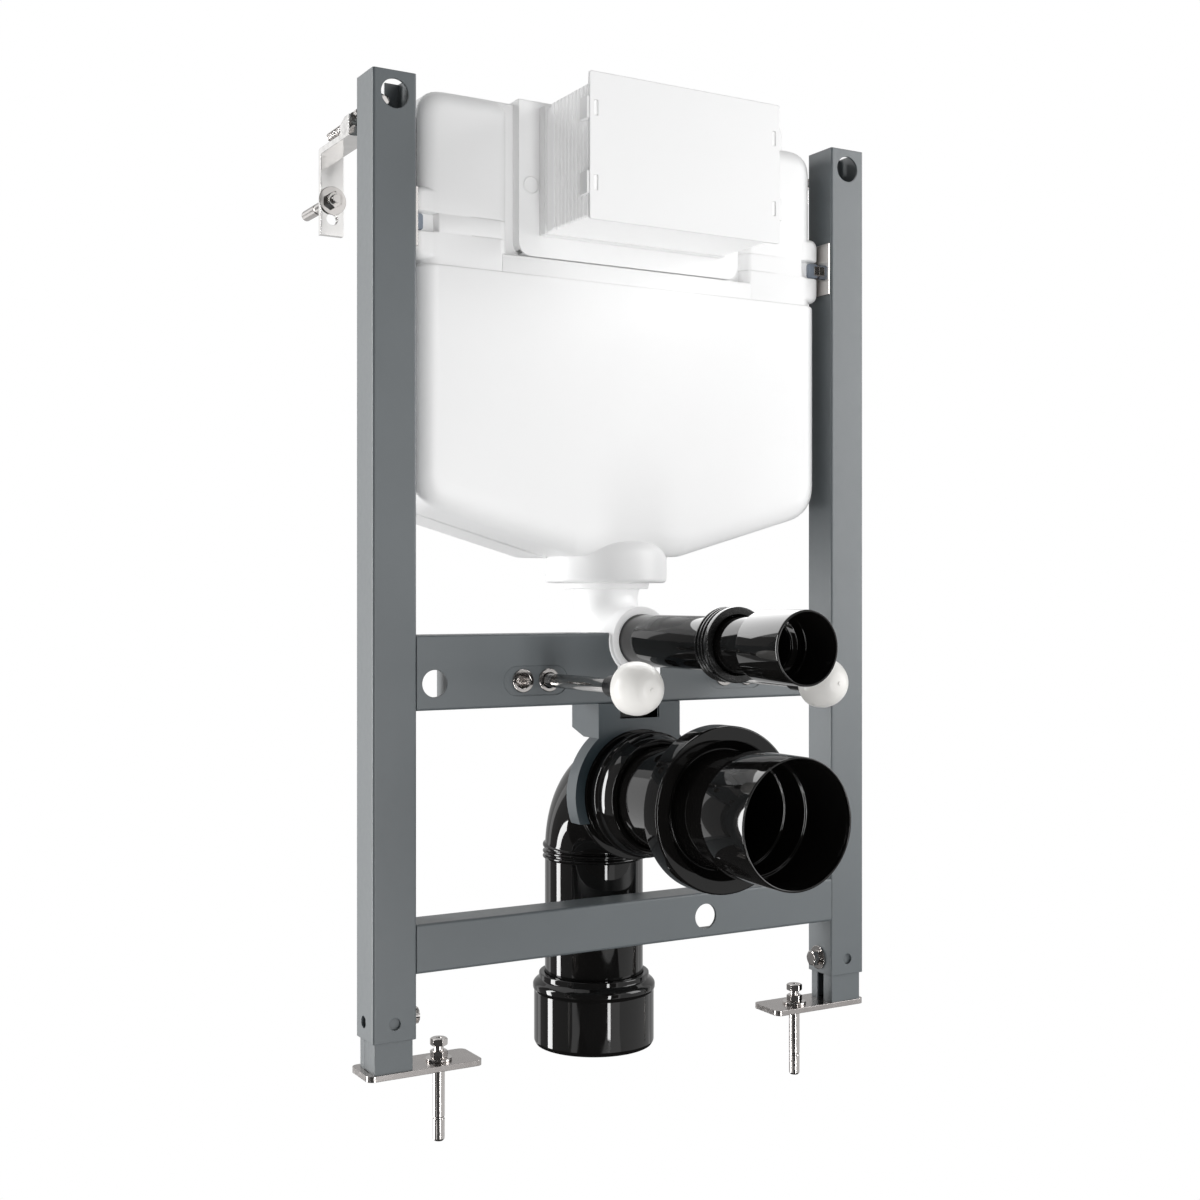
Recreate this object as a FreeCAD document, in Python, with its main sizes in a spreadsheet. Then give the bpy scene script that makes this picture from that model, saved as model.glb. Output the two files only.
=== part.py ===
import FreeCAD, Part

import os

import Sketcher
from FreeCAD import Placement, Rotation, Vector

# Wall hung toilet frame: two open channel posts on telescopic feet, two crossbars, a slim concealed
# cistern between the posts, a flush bend and a waste bend with their pan connectors, and wall brackets.
# Lengths are in millimetres. X runs to the right, Y from the front of the posts to the wall, Z up.
# Sizes are set out from the middle of the frame, the front of the posts and the floor, and every
# sub-part is then placed from the wall face of the left bracket, which is the origin.

DRIVING_SIZES = [
    ("frame_width", 500.0, "over the outer faces of both posts"),
    ("post_top", 812.5, "top of the posts above the floor, feet pushed in"),
    ("post_bottom", 30.5, "lower end of the posts above the floor"),
    ("post_width", 38.0, "post, across the frame"),
    ("post_depth", 36.0, "post, front to back"),
    ("post_wall", 2.0, "sheet of the posts"),
    ("post_gap", 10.6, "open slot down the back of each post"),
    ("post_corner", 2.0, "bend radius of the post"),
    ("rod_hole", 24.0, "round access hole at the head of each post"),
    ("rod_drop", 18.5, "rod axis below the top of the posts"),
    ("pin_hole", 9.8, "small holes near the foot of each post"),
    ("lock_height", 44.8, "lock bolt above the floor"),
    ("lock_depth", 20.0, "lock bolt behind the front of the posts"),
    ("lock_bolt", 8.0, "diameter of the lock bolt"),
    ("lock_washer", 22.0, "diameter of the lock washer"),
    ("slide_gap", 0.6, "running gap between post and foot tube"),
    ("foot_wall", 1.8, "sheet of the foot tubes"),
    ("foot_travel", 200.0, "how far a foot draws out"),
    ("foot_overlap", 80.0, "foot tube left in the post when drawn out"),
    ("slot_gap", 0.8, "gap each side of the lock bolt in the foot slot"),
    ("plate_length", 102.0, "foot plate, across the frame"),
    ("plate_depth", 40.0, "foot plate, front to back"),
    ("plate_thick", 4.7, "foot plate"),
    ("plate_corner", 6.0, "corner radius of the foot plate"),
    ("plate_past", 3.0, "foot plate past the outer face of the post"),
    ("plate_front", 1.6, "foot plate behind the front of the posts"),
    ("anchor_in", 47.5, "floor anchor in from the middle of its post"),
    ("anchor_depth", 20.0, "floor anchor behind the front of the posts"),
    ("anchor_shank", 10.0, "diameter of the floor and wall anchors"),
    ("anchor_reach", 62.0, "floor anchor below the floor"),
    ("fit_gap", 0.3, "gap round a bolt or a pipe in its hole"),
    ("bar_height", 61.5, "upper crossbar"),
    ("bar_bottom", 296.0, "underside of the upper crossbar above the floor"),
    ("bar_depth", 30.0, "both crossbars, front to back"),
    ("bar_wall", 2.5, "sheet of both crossbars"),
    ("bar_hole", 22.4, "round holes in the crossbars"),
    ("bar_hole_in", 16.0, "upper crossbar hole in from the post"),
    ("low_height", 40.3, "lower crossbar"),
    ("low_bottom", 82.6, "underside of the lower crossbar above the floor"),
    ("low_hole_side", 69.5, "lower crossbar hole from the middle"),
    ("low_hole_rise", 19.0, "lower crossbar hole above its underside"),
    ("backing_gap", 0.5, "stiffener above the bar's lower flange"),
    ("stud_side", 90.0, "pan studs from the middle, 180 apart"),
    ("insert_side", 115.0, "spare inserts from the middle, 230 apart"),
    ("stud_size", 12.0, "diameter of the pan studs"),
    ("stud_reach", 165.0, "nose of the stud cap in front of the posts"),
    ("thread_size", 10.4, "bore of the spare inserts"),
    ("insert_body", 15.0, "barrel of the inserts"),
    ("insert_rim", 20.0, "rim of the inserts"),
    ("insert_rim_thick", 1.5, "rim of the inserts"),
    ("insert_length", 22.0, "inserts behind the bar's recess"),
    ("recess_width", 61.0, "pressed recess round each pair of inserts"),
    ("recess_height", 25.0, "pressed recess round each pair of inserts"),
    ("recess_deep", 0.8, "pressed recess round each pair of inserts"),
    ("cap_size", 42.0, "diameter of the stud caps"),
    ("cap_length", 30.0, "stud caps"),
    ("cap_collar", 17.0, "diameter of the sleeve behind each cap"),
    ("collar_length", 33.0, "sleeve behind each cap"),
    ("flush_up", 54.5, "flush pipe's axis above the underside of the upper crossbar"),
    ("flush_pipe", 45.0, "diameter of the flush pipe"),
    ("flush_wall", 2.0, "wall of the flush pipe and its bend"),
    ("flush_front", 239.5, "mouth of the flush connector in front of the posts"),
    ("flush_mouth", 58.0, "diameter of the flush connector at its mouth"),
    ("flush_step", 185.0, "step of the flush connector in front of the posts"),
    ("seal_size", 61.0, "diameter of the ribbed flush seal"),
    ("seal_front", 150.0, "front of the flush seal in front of the posts"),
    ("seal_length", 21.0, "flush seal"),
    ("rib_count", 4.0, "ribs of the flush seal"),
    ("bend_bore", 27.5, "outer radius of the white flush bend"),
    ("bend_radius", 40.0, "middle line of the white flush bend"),
    ("outlet_depth", 58.6, "cistern outlet behind the front of the posts"),
    ("outlet_up", 50.5, "underside of the outlet block above the flush pipe's axis"),
    ("outlet_radius", 55.0, "outlet block"),
    ("waste_down", 79.0, "waste pipe's axis below the upper crossbar"),
    ("waste_depth", 80.6, "upright waste pipe behind the front of the posts"),
    ("waste_pipe", 90.0, "diameter of the waste pipe"),
    ("waste_wall", 2.7, "wall of the waste pipe"),
    ("waste_turn", 60.0, "middle line of the waste bend"),
    ("waste_socket", 110.0, "diameter of the sockets of the waste bend"),
    ("waste_rim", 16.0, "rim of the front socket in front of the posts"),
    ("waste_low", 20.0, "bottom of the waste adapter below the floor"),
    ("adapter_top", 45.0, "lip of the waste adapter above the floor"),
    ("flange_size", 136.0, "diameter of the flange on the waste connector"),
    ("flange_front", 135.0, "flange in front of the posts"),
    ("flange_thick", 20.0, "flange on the waste connector"),
    ("waste_mouth", 102.6, "diameter of the waste connector at its mouth"),
    ("waste_front", 228.0, "mouth of the waste connector in front of the posts"),
    ("waste_step", 172.0, "step of the waste connector in front of the posts"),
    ("cradle_half", 41.7, "waste bracket from the middle to its side"),
    ("cradle_deep", 47.0, "side flanges of the waste bracket"),
    ("cradle_drop", 30.0, "side flanges below the crossbar"),
    ("cradle_ring", 64.5, "outer radius of the saddle ring"),
    ("cradle_rim", 16.0, "depth of the saddle ring"),
    ("cradle_low", 24.0, "ends of the saddle ring below the waste pipe's axis"),
    ("sheet_wall", 2.0, "sheet of the brackets"),
    ("cistern_gap", 7.0, "cistern clear of each post"),
    ("cistern_front", 10.0, "front of the cistern behind the front of the posts"),
    ("cistern_back", 138.0, "back of the cistern behind the front of the posts"),
    ("ledge_down", 149.5, "ledge between the lower and upper cistern below the top of the posts"),
    ("cistern_down", 3.0, "top of the cistern below the top of the posts"),
    ("side_up", 42.0, "where the cistern sides turn in, above its flat bottom"),
    ("floor_up", 24.0, "flat bottom of the cistern above the underside of the outlet block"),
    ("cistern_flat", 55.0, "half width of the flat bottom"),
    ("shoulder_in", 4.0, "upper cistern in from the lower one at each side"),
    ("shoulder_front", 13.0, "front of the shoulders behind the front of the posts"),
    ("shoulder_inner", 127.0, "inner side of each shoulder from the middle"),
    ("recess_back", 30.0, "back of the panel recess behind the front of the posts"),
    ("lug_gap", 3.5, "fixing lugs clear of each post"),
    ("lug_low_down", 144.5, "lower end of the fixing lugs below the top of the posts"),
    ("lug_high_down", 87.5, "upper end of the fixing lugs below the top of the posts"),
    ("lug_depth", 45.0, "fixing lugs, front to back"),
    ("notch_down", 114.5, "middle of the bolt notch in each lug below the top of the posts"),
    ("notch_size", 17.0, "bolt notch in each lug"),
    ("panel_half", 113.0, "half width of the access panel"),
    ("panel_low_down", 133.5, "lower edge of the access panel below the top of the posts"),
    ("panel_high_down", 1.5, "upper edge of the access panel below the top of the posts"),
    ("panel_front", 12.0, "face of the access panel behind the front of the posts"),
    ("panel_wall", 2.5, "wall of the access panel, tunnel and cover"),
    ("tunnel_half", 90.5, "half width of the access tunnel"),
    ("tunnel_low_down", 113.0, "underside of the access tunnel below the top of the posts"),
    ("tunnel_high_down", 9.5, "top of the access tunnel below the top of the posts"),
    ("cover_past", 4.1, "access cover past each side of the tunnel"),
    ("cover_low_down", 118.7, "lower edge of the access cover below the top of the posts"),
    ("cover_over", 0.8, "upper edge of the access cover above the top of the posts"),
    ("cover_front", 77.0, "access cover in front of the posts"),
    ("ridge_count", 11.0, "ridges round the access tunnel"),
    ("ridge_pitch", 6.2, "from one ridge to the next"),
    ("ridge_proud", 2.0, "ridges stand proud of the tunnel"),
    ("wall_depth", 146.6, "wall face behind the front of the posts"),
    ("bracket_width", 21.0, "wall bracket"),
    ("bracket_leg", 76.0, "upright leg of the wall bracket"),
    ("bracket_drop", 11.5, "arm of the wall bracket below the rod axis"),
    ("bracket_wall", 5.5, "thickness of the wall bracket"),
    ("bracket_front", 74.0, "front of the bracket arm behind the front of the posts"),
    ("rod_size", 8.0, "diameter of the threaded rods"),
    ("rod_end", 145.6, "end of the rods behind the front of the posts"),
    ("nut_flats", 13.0, "nuts on the threaded rods, across flats"),
    ("nut_thick", 6.5, "nuts on the threaded rods"),
    ("bolt_flats", 13.0, "bolt heads, across flats"),
    ("bolt_head", 6.0, "bolt heads"),
    ("wall_anchor_drop", 57.0, "wall anchor below the rod axis"),
    ("wall_anchor_end", 208.0, "end of the wall anchor behind the front of the posts"),
    ("origin_rise", 22.0, "origin on the bracket above the wall anchor"),
    ("washer_thick", 1.6, "washers of the lock bolts and wall anchors"),
    ("lock_neck", 1.4, "neck of the lock bolt between washer and head"),
    ("anchor_washer_thick", 2.3, "washer of the floor anchors"),
    ("anchor_neck", 4.0, "neck of the anchors between nut and head"),
    ("anchor_tip", 1.5, "tapered end of the anchors"),
    ("wall_washer", 25.0, "diameter of the wall anchor washer"),
    ("backing_middle", 122.5, "stiffener from the middle of the frame"),
    ("backing_half", 61.5, "half width of the stiffener"),
    ("backing_depth", 20.0, "stiffener, front to back"),
    ("backing_height", 38.0, "stiffener, up and down"),
    ("bar_corner", 2.4, "outer bend radius of the crossbars"),
    ("bead_drop", 16.0, "bead of the waste adapter below its lip"),
    ("bend_wall", 5.5, "wall of the white flush bend"),
    ("bend_socket", 59.0, "diameter of the flush bend's socket"),
    ("bend_socket_deep", 17.0, "depth of the flush bend's socket"),
    ("bend_socket_front", 3.0, "flush bend's socket in front of the posts"),
    ("bracket_bend", 3.0, "outer bend radius of the wall bracket"),
    ("cap_round", 3.0, "rounded edges of the stud caps"),
    ("cistern_edge", 12.0, "rounded front edges of the lower cistern"),
    ("cistern_turn", 25.0, "corner radius of the lower cistern's outline"),
    ("clip_deep", 12.0, "clips behind the access cover"),
    ("clip_high_down", 28.5, "upper clips below the top of the posts"),
    ("clip_low_down", 89.0, "lower clips below the top of the posts"),
    ("clip_proud", 2.4, "clips past the edge of the cover"),
    ("clip_slot", 3.3, "slots in the access cover"),
    ("clip_slot_in", 6.0, "slots in from the edge of the cover"),
    ("clip_slot_tall", 12.4, "slots in the access cover, up and down"),
    ("clip_tall", 18.0, "clips, up and down"),
    ("collar_front", 3.0, "front of the panel's collar behind the front of the posts"),
    ("collar_radius", 39.0, "outer radius of the union ring under the outlet"),
    ("collar_thick", 5.4, "union ring under the outlet"),
    ("cover_corner", 2.0, "corner radius of the access cover"),
    ("cradle_cut", 7.0, "cut corner of the waste bracket's flanges"),
    ("dish_deep", 10.0, "dish in the flange of the waste connector"),
    ("dish_lip", 12.0, "flat rim round that dish"),
    ("ear_long", 10.0, "side ear of the wall bracket along its top"),
    ("ear_slope", 11.0, "sloping rear corner of that ear"),
    ("ear_step", 5.0, "height of that sloping corner"),
    ("fixing_front", 2.0, "front of the cistern fixing plate behind the front of the posts"),
    ("fixing_back", 34.0, "back of the cistern fixing plate behind the front of the posts"),
    ("fixing_bolt", 22.0, "cistern bolt behind the front of the posts"),
    ("fixing_half", 24.0, "half height of the cistern fixing plate"),
    ("flush_pipe_in", 6.0, "flush pipe inside its connector"),
    ("knock_down", 73.5, "raised ring on the panel below the top of the posts"),
    ("knock_radius", 7.5, "raised ring on the panel"),
    ("knock_side", 101.0, "raised ring from the middle of the frame"),
    ("mouth_ledge", 12.0, "inner ledge of the flush connector"),
    ("neck_radius", 30.5, "neck of the flush bend under the union ring"),
    ("notch_gap", 2.0, "gap between the flush socket and the bar's notch"),
    ("notch_half", 22.5, "half width of the bar's notch at its foot"),
    ("notch_up", 11.0, "foot of the bar's notch above the bar's underside"),
    ("notch_in", 6.0, "bolt notch in from the face of the lug"),
    ("outlet_bore_deep", 34.0, "depth of the bore up into the outlet block"),
    ("outlet_rise", 37.0, "height of the round outlet block"),
    ("sill_up", 13.6, "sill of the panel recess above the ledge"),
    ("tongue_past", 9.0, "tongue of the waste bend past each side of the bracket's window"),
    ("tongue_thick", 5.0, "tongue of the waste bend behind that window"),
    ("panel_corner", 12.0, "lower corner radius of the access panel"),
    ("rib_proud", 2.0, "ribs stand proud of pipe and seal"),
    ("ridge_wide", 3.0, "ridges of the tunnel, front to back"),
    ("rim_wide", 4.0, "rim of the waste bend's socket"),
    ("rod_past", 8.0, "rod past its inner nut"),
    ("seal_lip", 6.0, "smooth front lip of the flush seal"),
    ("shoulder_edge", 4.0, "rounded front edges of the shoulders"),
    ("shoulder_turn", 22.0, "outer top corners of the shoulders"),
    ("spare_hole_drop", 16.0, "spare hole of the wall bracket below the anchor"),
    ("spigot_deep", 44.0, "waste connector behind the mouth of the socket"),
    ("stop_rib_drop", 12.6, "lowest rib of the waste bend below the end of its turn"),
    ("stop_rib_pitch", 4.6, "from one rib of the waste bend to the next"),
    ("tab_up", 1.0, "top of the bracket's tab above the rod axis"),
    ("tail_end", 8.0, "lower end of the waste bend above the floor"),
    ("waste_socket_front", 38.0, "mouth of the waste socket in front of the posts"),
    ("window_drop", 13.6, "window under the bar in the waste bracket"),
    ("window_half", 20.0, "half width of that window"),
]


class Size:
    """A length worked out from the sheet: its value, and the expression that keeps it bound."""

    def __init__(self, value, text):
        self.value = float(value)
        self.text = text

    @staticmethod
    def of(other):
        return other if isinstance(other, Size) else Size(other, "(%s)" % float(other))

    def __add__(self, other):
        other = Size.of(other)
        return Size(self.value + other.value, "(%s + %s)" % (self.text, other.text))

    def __sub__(self, other):
        other = Size.of(other)
        return Size(self.value - other.value, "(%s - %s)" % (self.text, other.text))

    def __mul__(self, other):
        other = Size.of(other)
        return Size(self.value * other.value, "(%s * %s)" % (self.text, other.text))

    def __truediv__(self, other):
        other = Size.of(other)
        return Size(self.value / other.value, "(%s / %s)" % (self.text, other.text))

    def __radd__(self, other):
        return Size.of(other) + self

    def __rsub__(self, other):
        return Size.of(other) - self

    def __rmul__(self, other):
        return Size.of(other) * self

    def __neg__(self):
        return 0 - self


class SizeSheet:
    """The spreadsheet of driving sizes, read by alias."""

    def __init__(self, document):
        self.values = {}
        self.sheet = document.addObject("Spreadsheet::Sheet", "Sizes")
        for row, (alias, value, note) in enumerate(DRIVING_SIZES, start=1):
            self.sheet.set("A%d" % row, alias.replace("_", " "))
            self.sheet.set("B%d" % row, str(value))
            self.sheet.setAlias("B%d" % row, alias)
            self.sheet.set("C%d" % row, note)
            self.values[alias] = value
        document.recompute()

    def __getattr__(self, alias):
        return Size(self.values[alias], "Sizes.%s" % alias)


doc = FreeCAD.newDocument("ToiletFrame")
size = SizeSheet(doc)
sub_parts = []

LEFT = -1
RIGHT = 1
SIDE_NAMES = {LEFT: "left", RIGHT: "right"}
FACES_FRONT = Rotation(Vector(1, 0, 0), 90)
FACES_RIGHT = Rotation(Vector(0, 1, 0), 90)
UPRIGHT = Rotation()
HEX_CORNER = 2 / 3 ** 0.5
FREE = 1.0

# Places that several sub-parts share.

post_half = size.post_width / 2
post_middle = size.frame_width / 2 - post_half
post_inner = size.frame_width / 2 - size.post_width
rod_height = size.post_top - size.rod_drop
bar_top = size.bar_bottom + size.bar_height
bar_hole_side = post_inner - size.bar_hole_in
stud_height = size.bar_bottom + size.bar_wall + size.backing_gap + size.backing_height / 2
notch_low = size.bar_bottom + size.notch_up
anchor_side = post_middle - size.anchor_in
flush_height = size.bar_bottom + size.flush_up
outlet_height = flush_height + size.outlet_up
waste_height = size.bar_bottom - size.waste_down
stop_rib_low = waste_height - size.waste_turn - size.stop_rib_drop
cradle_ends = waste_height - size.cradle_low
cistern_floor = outlet_height + size.floor_up
cistern_side_low = cistern_floor + size.side_up
cistern_half = post_inner - size.cistern_gap
shoulder_half = cistern_half - size.shoulder_in
lug_half = post_inner - size.lug_gap
notch_inner = lug_half - size.notch_in
cistern_ledge = size.post_top - size.ledge_down
cistern_top = size.post_top - size.cistern_down
lug_low = size.post_top - size.lug_low_down
lug_high = size.post_top - size.lug_high_down
notch_height = size.post_top - size.notch_down
panel_low = size.post_top - size.panel_low_down
panel_high = size.post_top - size.panel_high_down
tunnel_low = size.post_top - size.tunnel_low_down
tunnel_high = size.post_top - size.tunnel_high_down
cover_low = size.post_top - size.cover_low_down
cover_high = size.post_top + size.cover_over
clip_high = size.post_top - size.clip_high_down
clip_low = size.post_top - size.clip_low_down
knock_height = size.post_top - size.knock_down
origin_x = -post_middle
origin_y = size.wall_depth
origin_z = rod_height - size.wall_anchor_drop + size.origin_rise
foot_half_x = post_half - size.post_wall - size.slide_gap
foot_near_y = size.post_wall + size.slide_gap
foot_far_y = size.post_depth - size.post_wall - size.slide_gap
foot_slot = size.lock_bolt + 2 * size.slot_gap
pipe_radius = size.flush_pipe / 2
waste_radius = size.waste_pipe / 2
socket_bore = waste_radius + size.fit_gap


# Helpers for sketches and features.

def bind_place(thing, x, y, z, rotation=UPRIGHT):
    """Place a sub-part from the wall face of the left bracket, with its position bound to the sheet."""
    place = [Size.of(x) - origin_x, Size.of(y) - origin_y, Size.of(z) - origin_z]
    thing.Placement = Placement(Vector(*[part.value for part in place]), rotation)
    for letter, part in zip("xyz", place):
        thing.setExpression("Placement.Base.%s" % letter, part.text)


def new_body(label, x, y, z, rotation=UPRIGHT):
    """A body that becomes one sub-part, placed at x, y, z."""
    body = doc.addObject("PartDesign::Body", label)
    body.Label = label
    bind_place(body, x, y, z, rotation)
    sub_parts.append(body)
    return body


def new_sketch(body, plane, offset=0):
    """A sketch on one of the body's own planes, moved along the plane's normal."""
    sketch = body.newObject("Sketcher::SketchObject", body.Label + "_sketch")
    support = [item for item in body.Origin.OriginFeatures if item.Role == plane][0]
    sketch.AttachmentSupport = [(support, "")]
    sketch.MapMode = "FlatFace"
    offset = Size.of(offset)
    sketch.AttachmentOffset = Placement(Vector(0, 0, offset.value), Rotation())
    sketch.setExpression("AttachmentOffset.Base.z", offset.text)
    return sketch


def pin_point(sketch, index, position, x, y):
    """Hold a point of the sketch at x, y with bound distances from the sketch's origin."""
    for kind, distance in (("DistanceX", Size.of(x)), ("DistanceY", Size.of(y))):
        constraint = Sketcher.Constraint(kind, -1, 1, index, position, distance.value)
        number = sketch.addConstraint(constraint)
        sketch.setExpression("Constraints[%d]" % number, distance.text)


def draw_loop(sketch, points):
    """A closed outline of straight lines through the points."""
    corners = [Vector(Size.of(x).value, Size.of(y).value, 0) for x, y in points]
    first = sketch.GeometryCount
    count = len(points)
    for number in range(count):
        sketch.addGeometry(Part.LineSegment(corners[number], corners[(number + 1) % count]))
    for number in range(count):
        following = first + (number + 1) % count
        sketch.addConstraint(Sketcher.Constraint("Coincident", first + number, 2, following, 1))
    for number, (x, y) in enumerate(points):
        pin_point(sketch, first + number, 1, x, y)


def draw_box(sketch, x0, y0, x1, y1):
    """A rectangle between two corners."""
    draw_loop(sketch, [(x0, y0), (x1, y0), (x1, y1), (x0, y1)])


def draw_circle(sketch, x, y, radius):
    """A circle with a bound centre and radius."""
    radius = Size.of(radius)
    centre = Vector(Size.of(x).value, Size.of(y).value, 0)
    index = sketch.addGeometry(Part.Circle(centre, Vector(0, 0, 1), radius.value))
    pin_point(sketch, index, 3, x, y)
    number = sketch.addConstraint(Sketcher.Constraint("Radius", index, radius.value))
    sketch.setExpression("Constraints[%d]" % number, radius.text)


def draw_slot(sketch, x, y, reach, radius):
    """A slot with round ends along the sketch's first axis: reach is from its middle to an end's centre."""
    reach = Size.of(reach)
    radius = Size.of(radius)
    x = Size.of(x)
    y = Size.of(y)
    left = Vector(x.value - reach.value, y.value, 0)
    right = Vector(x.value + reach.value, y.value, 0)
    up = Vector(0, radius.value, 0)
    quarter = 1.5707963267948966
    first = sketch.GeometryCount
    axis = Vector(0, 0, 1)
    sketch.addGeometry(Part.ArcOfCircle(Part.Circle(left, axis, radius.value), quarter, 3 * quarter))
    sketch.addGeometry(Part.LineSegment(left - up, right - up))
    sketch.addGeometry(Part.ArcOfCircle(Part.Circle(right, axis, radius.value), -quarter, quarter))
    sketch.addGeometry(Part.LineSegment(right + up, left + up))
    joins = ((0, 2, 1, 1), (1, 2, 2, 1), (2, 2, 3, 1), (3, 2, 0, 1))
    for one, one_end, other, other_end in joins:
        ends = (first + one, one_end, first + other, other_end)
        sketch.addConstraint(Sketcher.Constraint("Tangent", *ends))
    pin_point(sketch, first, 3, x - reach, y)
    pin_point(sketch, first + 2, 3, x + reach, y)
    number = sketch.addConstraint(Sketcher.Constraint("Radius", first, radius.value))
    sketch.setExpression("Constraints[%d]" % number, radius.text)


def pad(body, sketch, length, backwards=False, both_ways=False):
    """Add the sketch's area over a bound length."""
    feature = body.newObject("PartDesign::Pad", body.Label + "_pad")
    feature.Profile = sketch
    feature.setExpression("Length", Size.of(length).text)
    feature.Reversed = backwards
    feature.Midplane = both_ways
    return feature


def pocket(body, sketch, length, backwards=False, both_ways=False):
    """Cut the sketch's area over a bound length, against the plane's normal unless backwards."""
    feature = body.newObject("PartDesign::Pocket", body.Label + "_pocket")
    feature.Profile = sketch
    feature.setExpression("Length", Size.of(length).text)
    feature.Reversed = backwards
    feature.Midplane = both_ways
    doc.recompute()
    if feature.Shape.Volume > feature.BaseFeature.Shape.Volume - FREE * FREE * FREE:
        raise ValueError("%s cuts nothing" % feature.Name)
    return feature


def revolve(body, sketch, axis, angle=360, backwards=False):
    """Turn the sketch about one of its own axes."""
    feature = body.newObject("PartDesign::Revolution", body.Label + "_turn")
    feature.Profile = sketch
    feature.ReferenceAxis = (sketch, [axis])
    feature.Angle = angle
    feature.Reversed = backwards
    return feature


def round_edges(body, radius, chosen):
    """Fillet the edges of the body's last feature that the test picks by their middle and direction."""
    doc.recompute()
    base = body.Tip
    names = []
    for number, edge in enumerate(base.Shape.Edges, start=1):
        middle = edge.valueAt((edge.FirstParameter + edge.LastParameter) / 2)
        along = edge.Vertexes[-1].Point - edge.Vertexes[0].Point
        if along.Length > 0:
            along.normalize()
        if chosen(middle, along):
            names.append("Edge%d" % number)
    feature = body.newObject("PartDesign::Fillet", body.Label + "_round")
    feature.Base = (base, names)
    feature.setExpression("Radius", Size.of(radius).text)
    doc.recompute()
    if feature.Shape.isNull() or not feature.Shape.isValid():
        raise ValueError("%s rounds nothing: %s" % (feature.Name, names))
    return feature


def near(value, size_value):
    """True where a coordinate lies on a bound size."""
    return abs(value - Size.of(size_value).value) < 0.05


def turned_part(label, x, y, z, plane, axis, profile):
    """A sub-part that is one turned profile: points along and out from the axis."""
    body = new_body(label, x, y, z)
    sketch = new_sketch(body, plane)
    draw_loop(sketch, profile)
    revolve(body, sketch, axis)
    return body


def round_bar(start, length, diameter):
    """A plain cylinder from start, to be joined in a stack."""
    solid = doc.addObject("Part::Cylinder", "round")
    solid.setExpression("Radius", (Size.of(diameter) / 2).text)
    solid.setExpression("Height", Size.of(length).text)
    solid.setExpression("Placement.Base.z", Size.of(start).text)
    return solid


def cone_bar(start, length, diameter, end_diameter):
    """A tapered end from start, to be joined in a stack."""
    solid = doc.addObject("Part::Cone", "taper")
    solid.setExpression("Radius1", (Size.of(diameter) / 2).text)
    solid.setExpression("Radius2", (Size.of(end_diameter) / 2).text)
    solid.setExpression("Height", Size.of(length).text)
    solid.setExpression("Placement.Base.z", Size.of(start).text)
    return solid


def hex_bar(start, length, flats):
    """A hexagon from start, given across its flats, to be joined in a stack."""
    solid = doc.addObject("Part::Prism", "hexagon")
    solid.Polygon = 6
    solid.setExpression("Circumradius", (Size.of(flats) * (HEX_CORNER / 2)).text)
    solid.setExpression("Height", Size.of(length).text)
    solid.setExpression("Placement.Base.z", Size.of(start).text)
    return solid


def stacked_part(label, x, y, z, rotation, pieces):
    """A sub-part of round and six-sided lengths joined on one axis."""
    solid = doc.addObject("Part::MultiFuse", label)
    solid.Label = label
    solid.Shapes = pieces
    bind_place(solid, x, y, z, rotation)
    sub_parts.append(solid)
    return solid


# Frame: posts, telescopic feet and crossbars.

def make_post(side):
    """An open channel: the slot faces the wall, the rod hole and the small holes face out."""
    name = "post_" + SIDE_NAMES[side]
    body = new_body(name, side * post_middle, 0, size.post_bottom)
    wall = size.post_wall
    depth = size.post_depth
    lip = size.post_gap / 2
    length = size.post_top - size.post_bottom
    profile = new_sketch(body, "XY_Plane")
    draw_loop(profile, [
        (-lip, depth), (-post_half, depth), (-post_half, 0), (post_half, 0),
        (post_half, depth), (lip, depth), (lip, depth - wall),
        (post_half - wall, depth - wall), (post_half - wall, wall),
        (wall - post_half, wall), (wall - post_half, depth - wall), (-lip, depth - wall),
    ])
    pad(body, profile, length)
    outer = (-post_half.value, post_half.value)
    faces = (0.0, depth.value)
    round_edges(body, size.post_corner, lambda middle, along: (
        abs(along.z) > 0.9
        and any(near(middle.x, x) for x in outer)
        and any(near(middle.y, y) for y in faces)))
    front = new_sketch(body, "XZ_Plane")
    draw_circle(front, 0, length - size.rod_drop, size.rod_hole / 2)
    draw_circle(front, 0, size.lock_height - size.post_bottom, size.pin_hole / 2)
    pocket(body, front, wall + FREE)
    across = new_sketch(body, "YZ_Plane")
    draw_circle(across, size.lock_depth, size.lock_height - size.post_bottom, size.pin_hole / 2)
    pocket(body, across, size.post_width + FREE, both_ways=True)


def make_foot_tube(side):
    """The square tube that slides in the post, slotted for the lock bolt."""
    name = "foot_tube_" + SIDE_NAMES[side]
    body = new_body(name, side * post_middle, 0, size.plate_thick)
    wall = size.foot_wall
    lock = size.lock_height - size.plate_thick
    slot_top = lock + size.foot_travel + foot_slot / 2
    length = size.post_bottom - size.plate_thick + size.foot_travel + size.foot_overlap
    outline = new_sketch(body, "XY_Plane")
    draw_box(outline, -foot_half_x, foot_near_y, foot_half_x, foot_far_y)
    draw_box(outline, wall - foot_half_x, foot_near_y + wall, foot_half_x - wall, foot_far_y - wall)
    pad(body, outline, length)
    slot = new_sketch(body, "YZ_Plane")
    half_slot = foot_slot / 2
    draw_box(slot, size.lock_depth - half_slot, -FREE, size.lock_depth + half_slot, slot_top)
    pocket(body, slot, size.post_width, both_ways=True)


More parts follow.
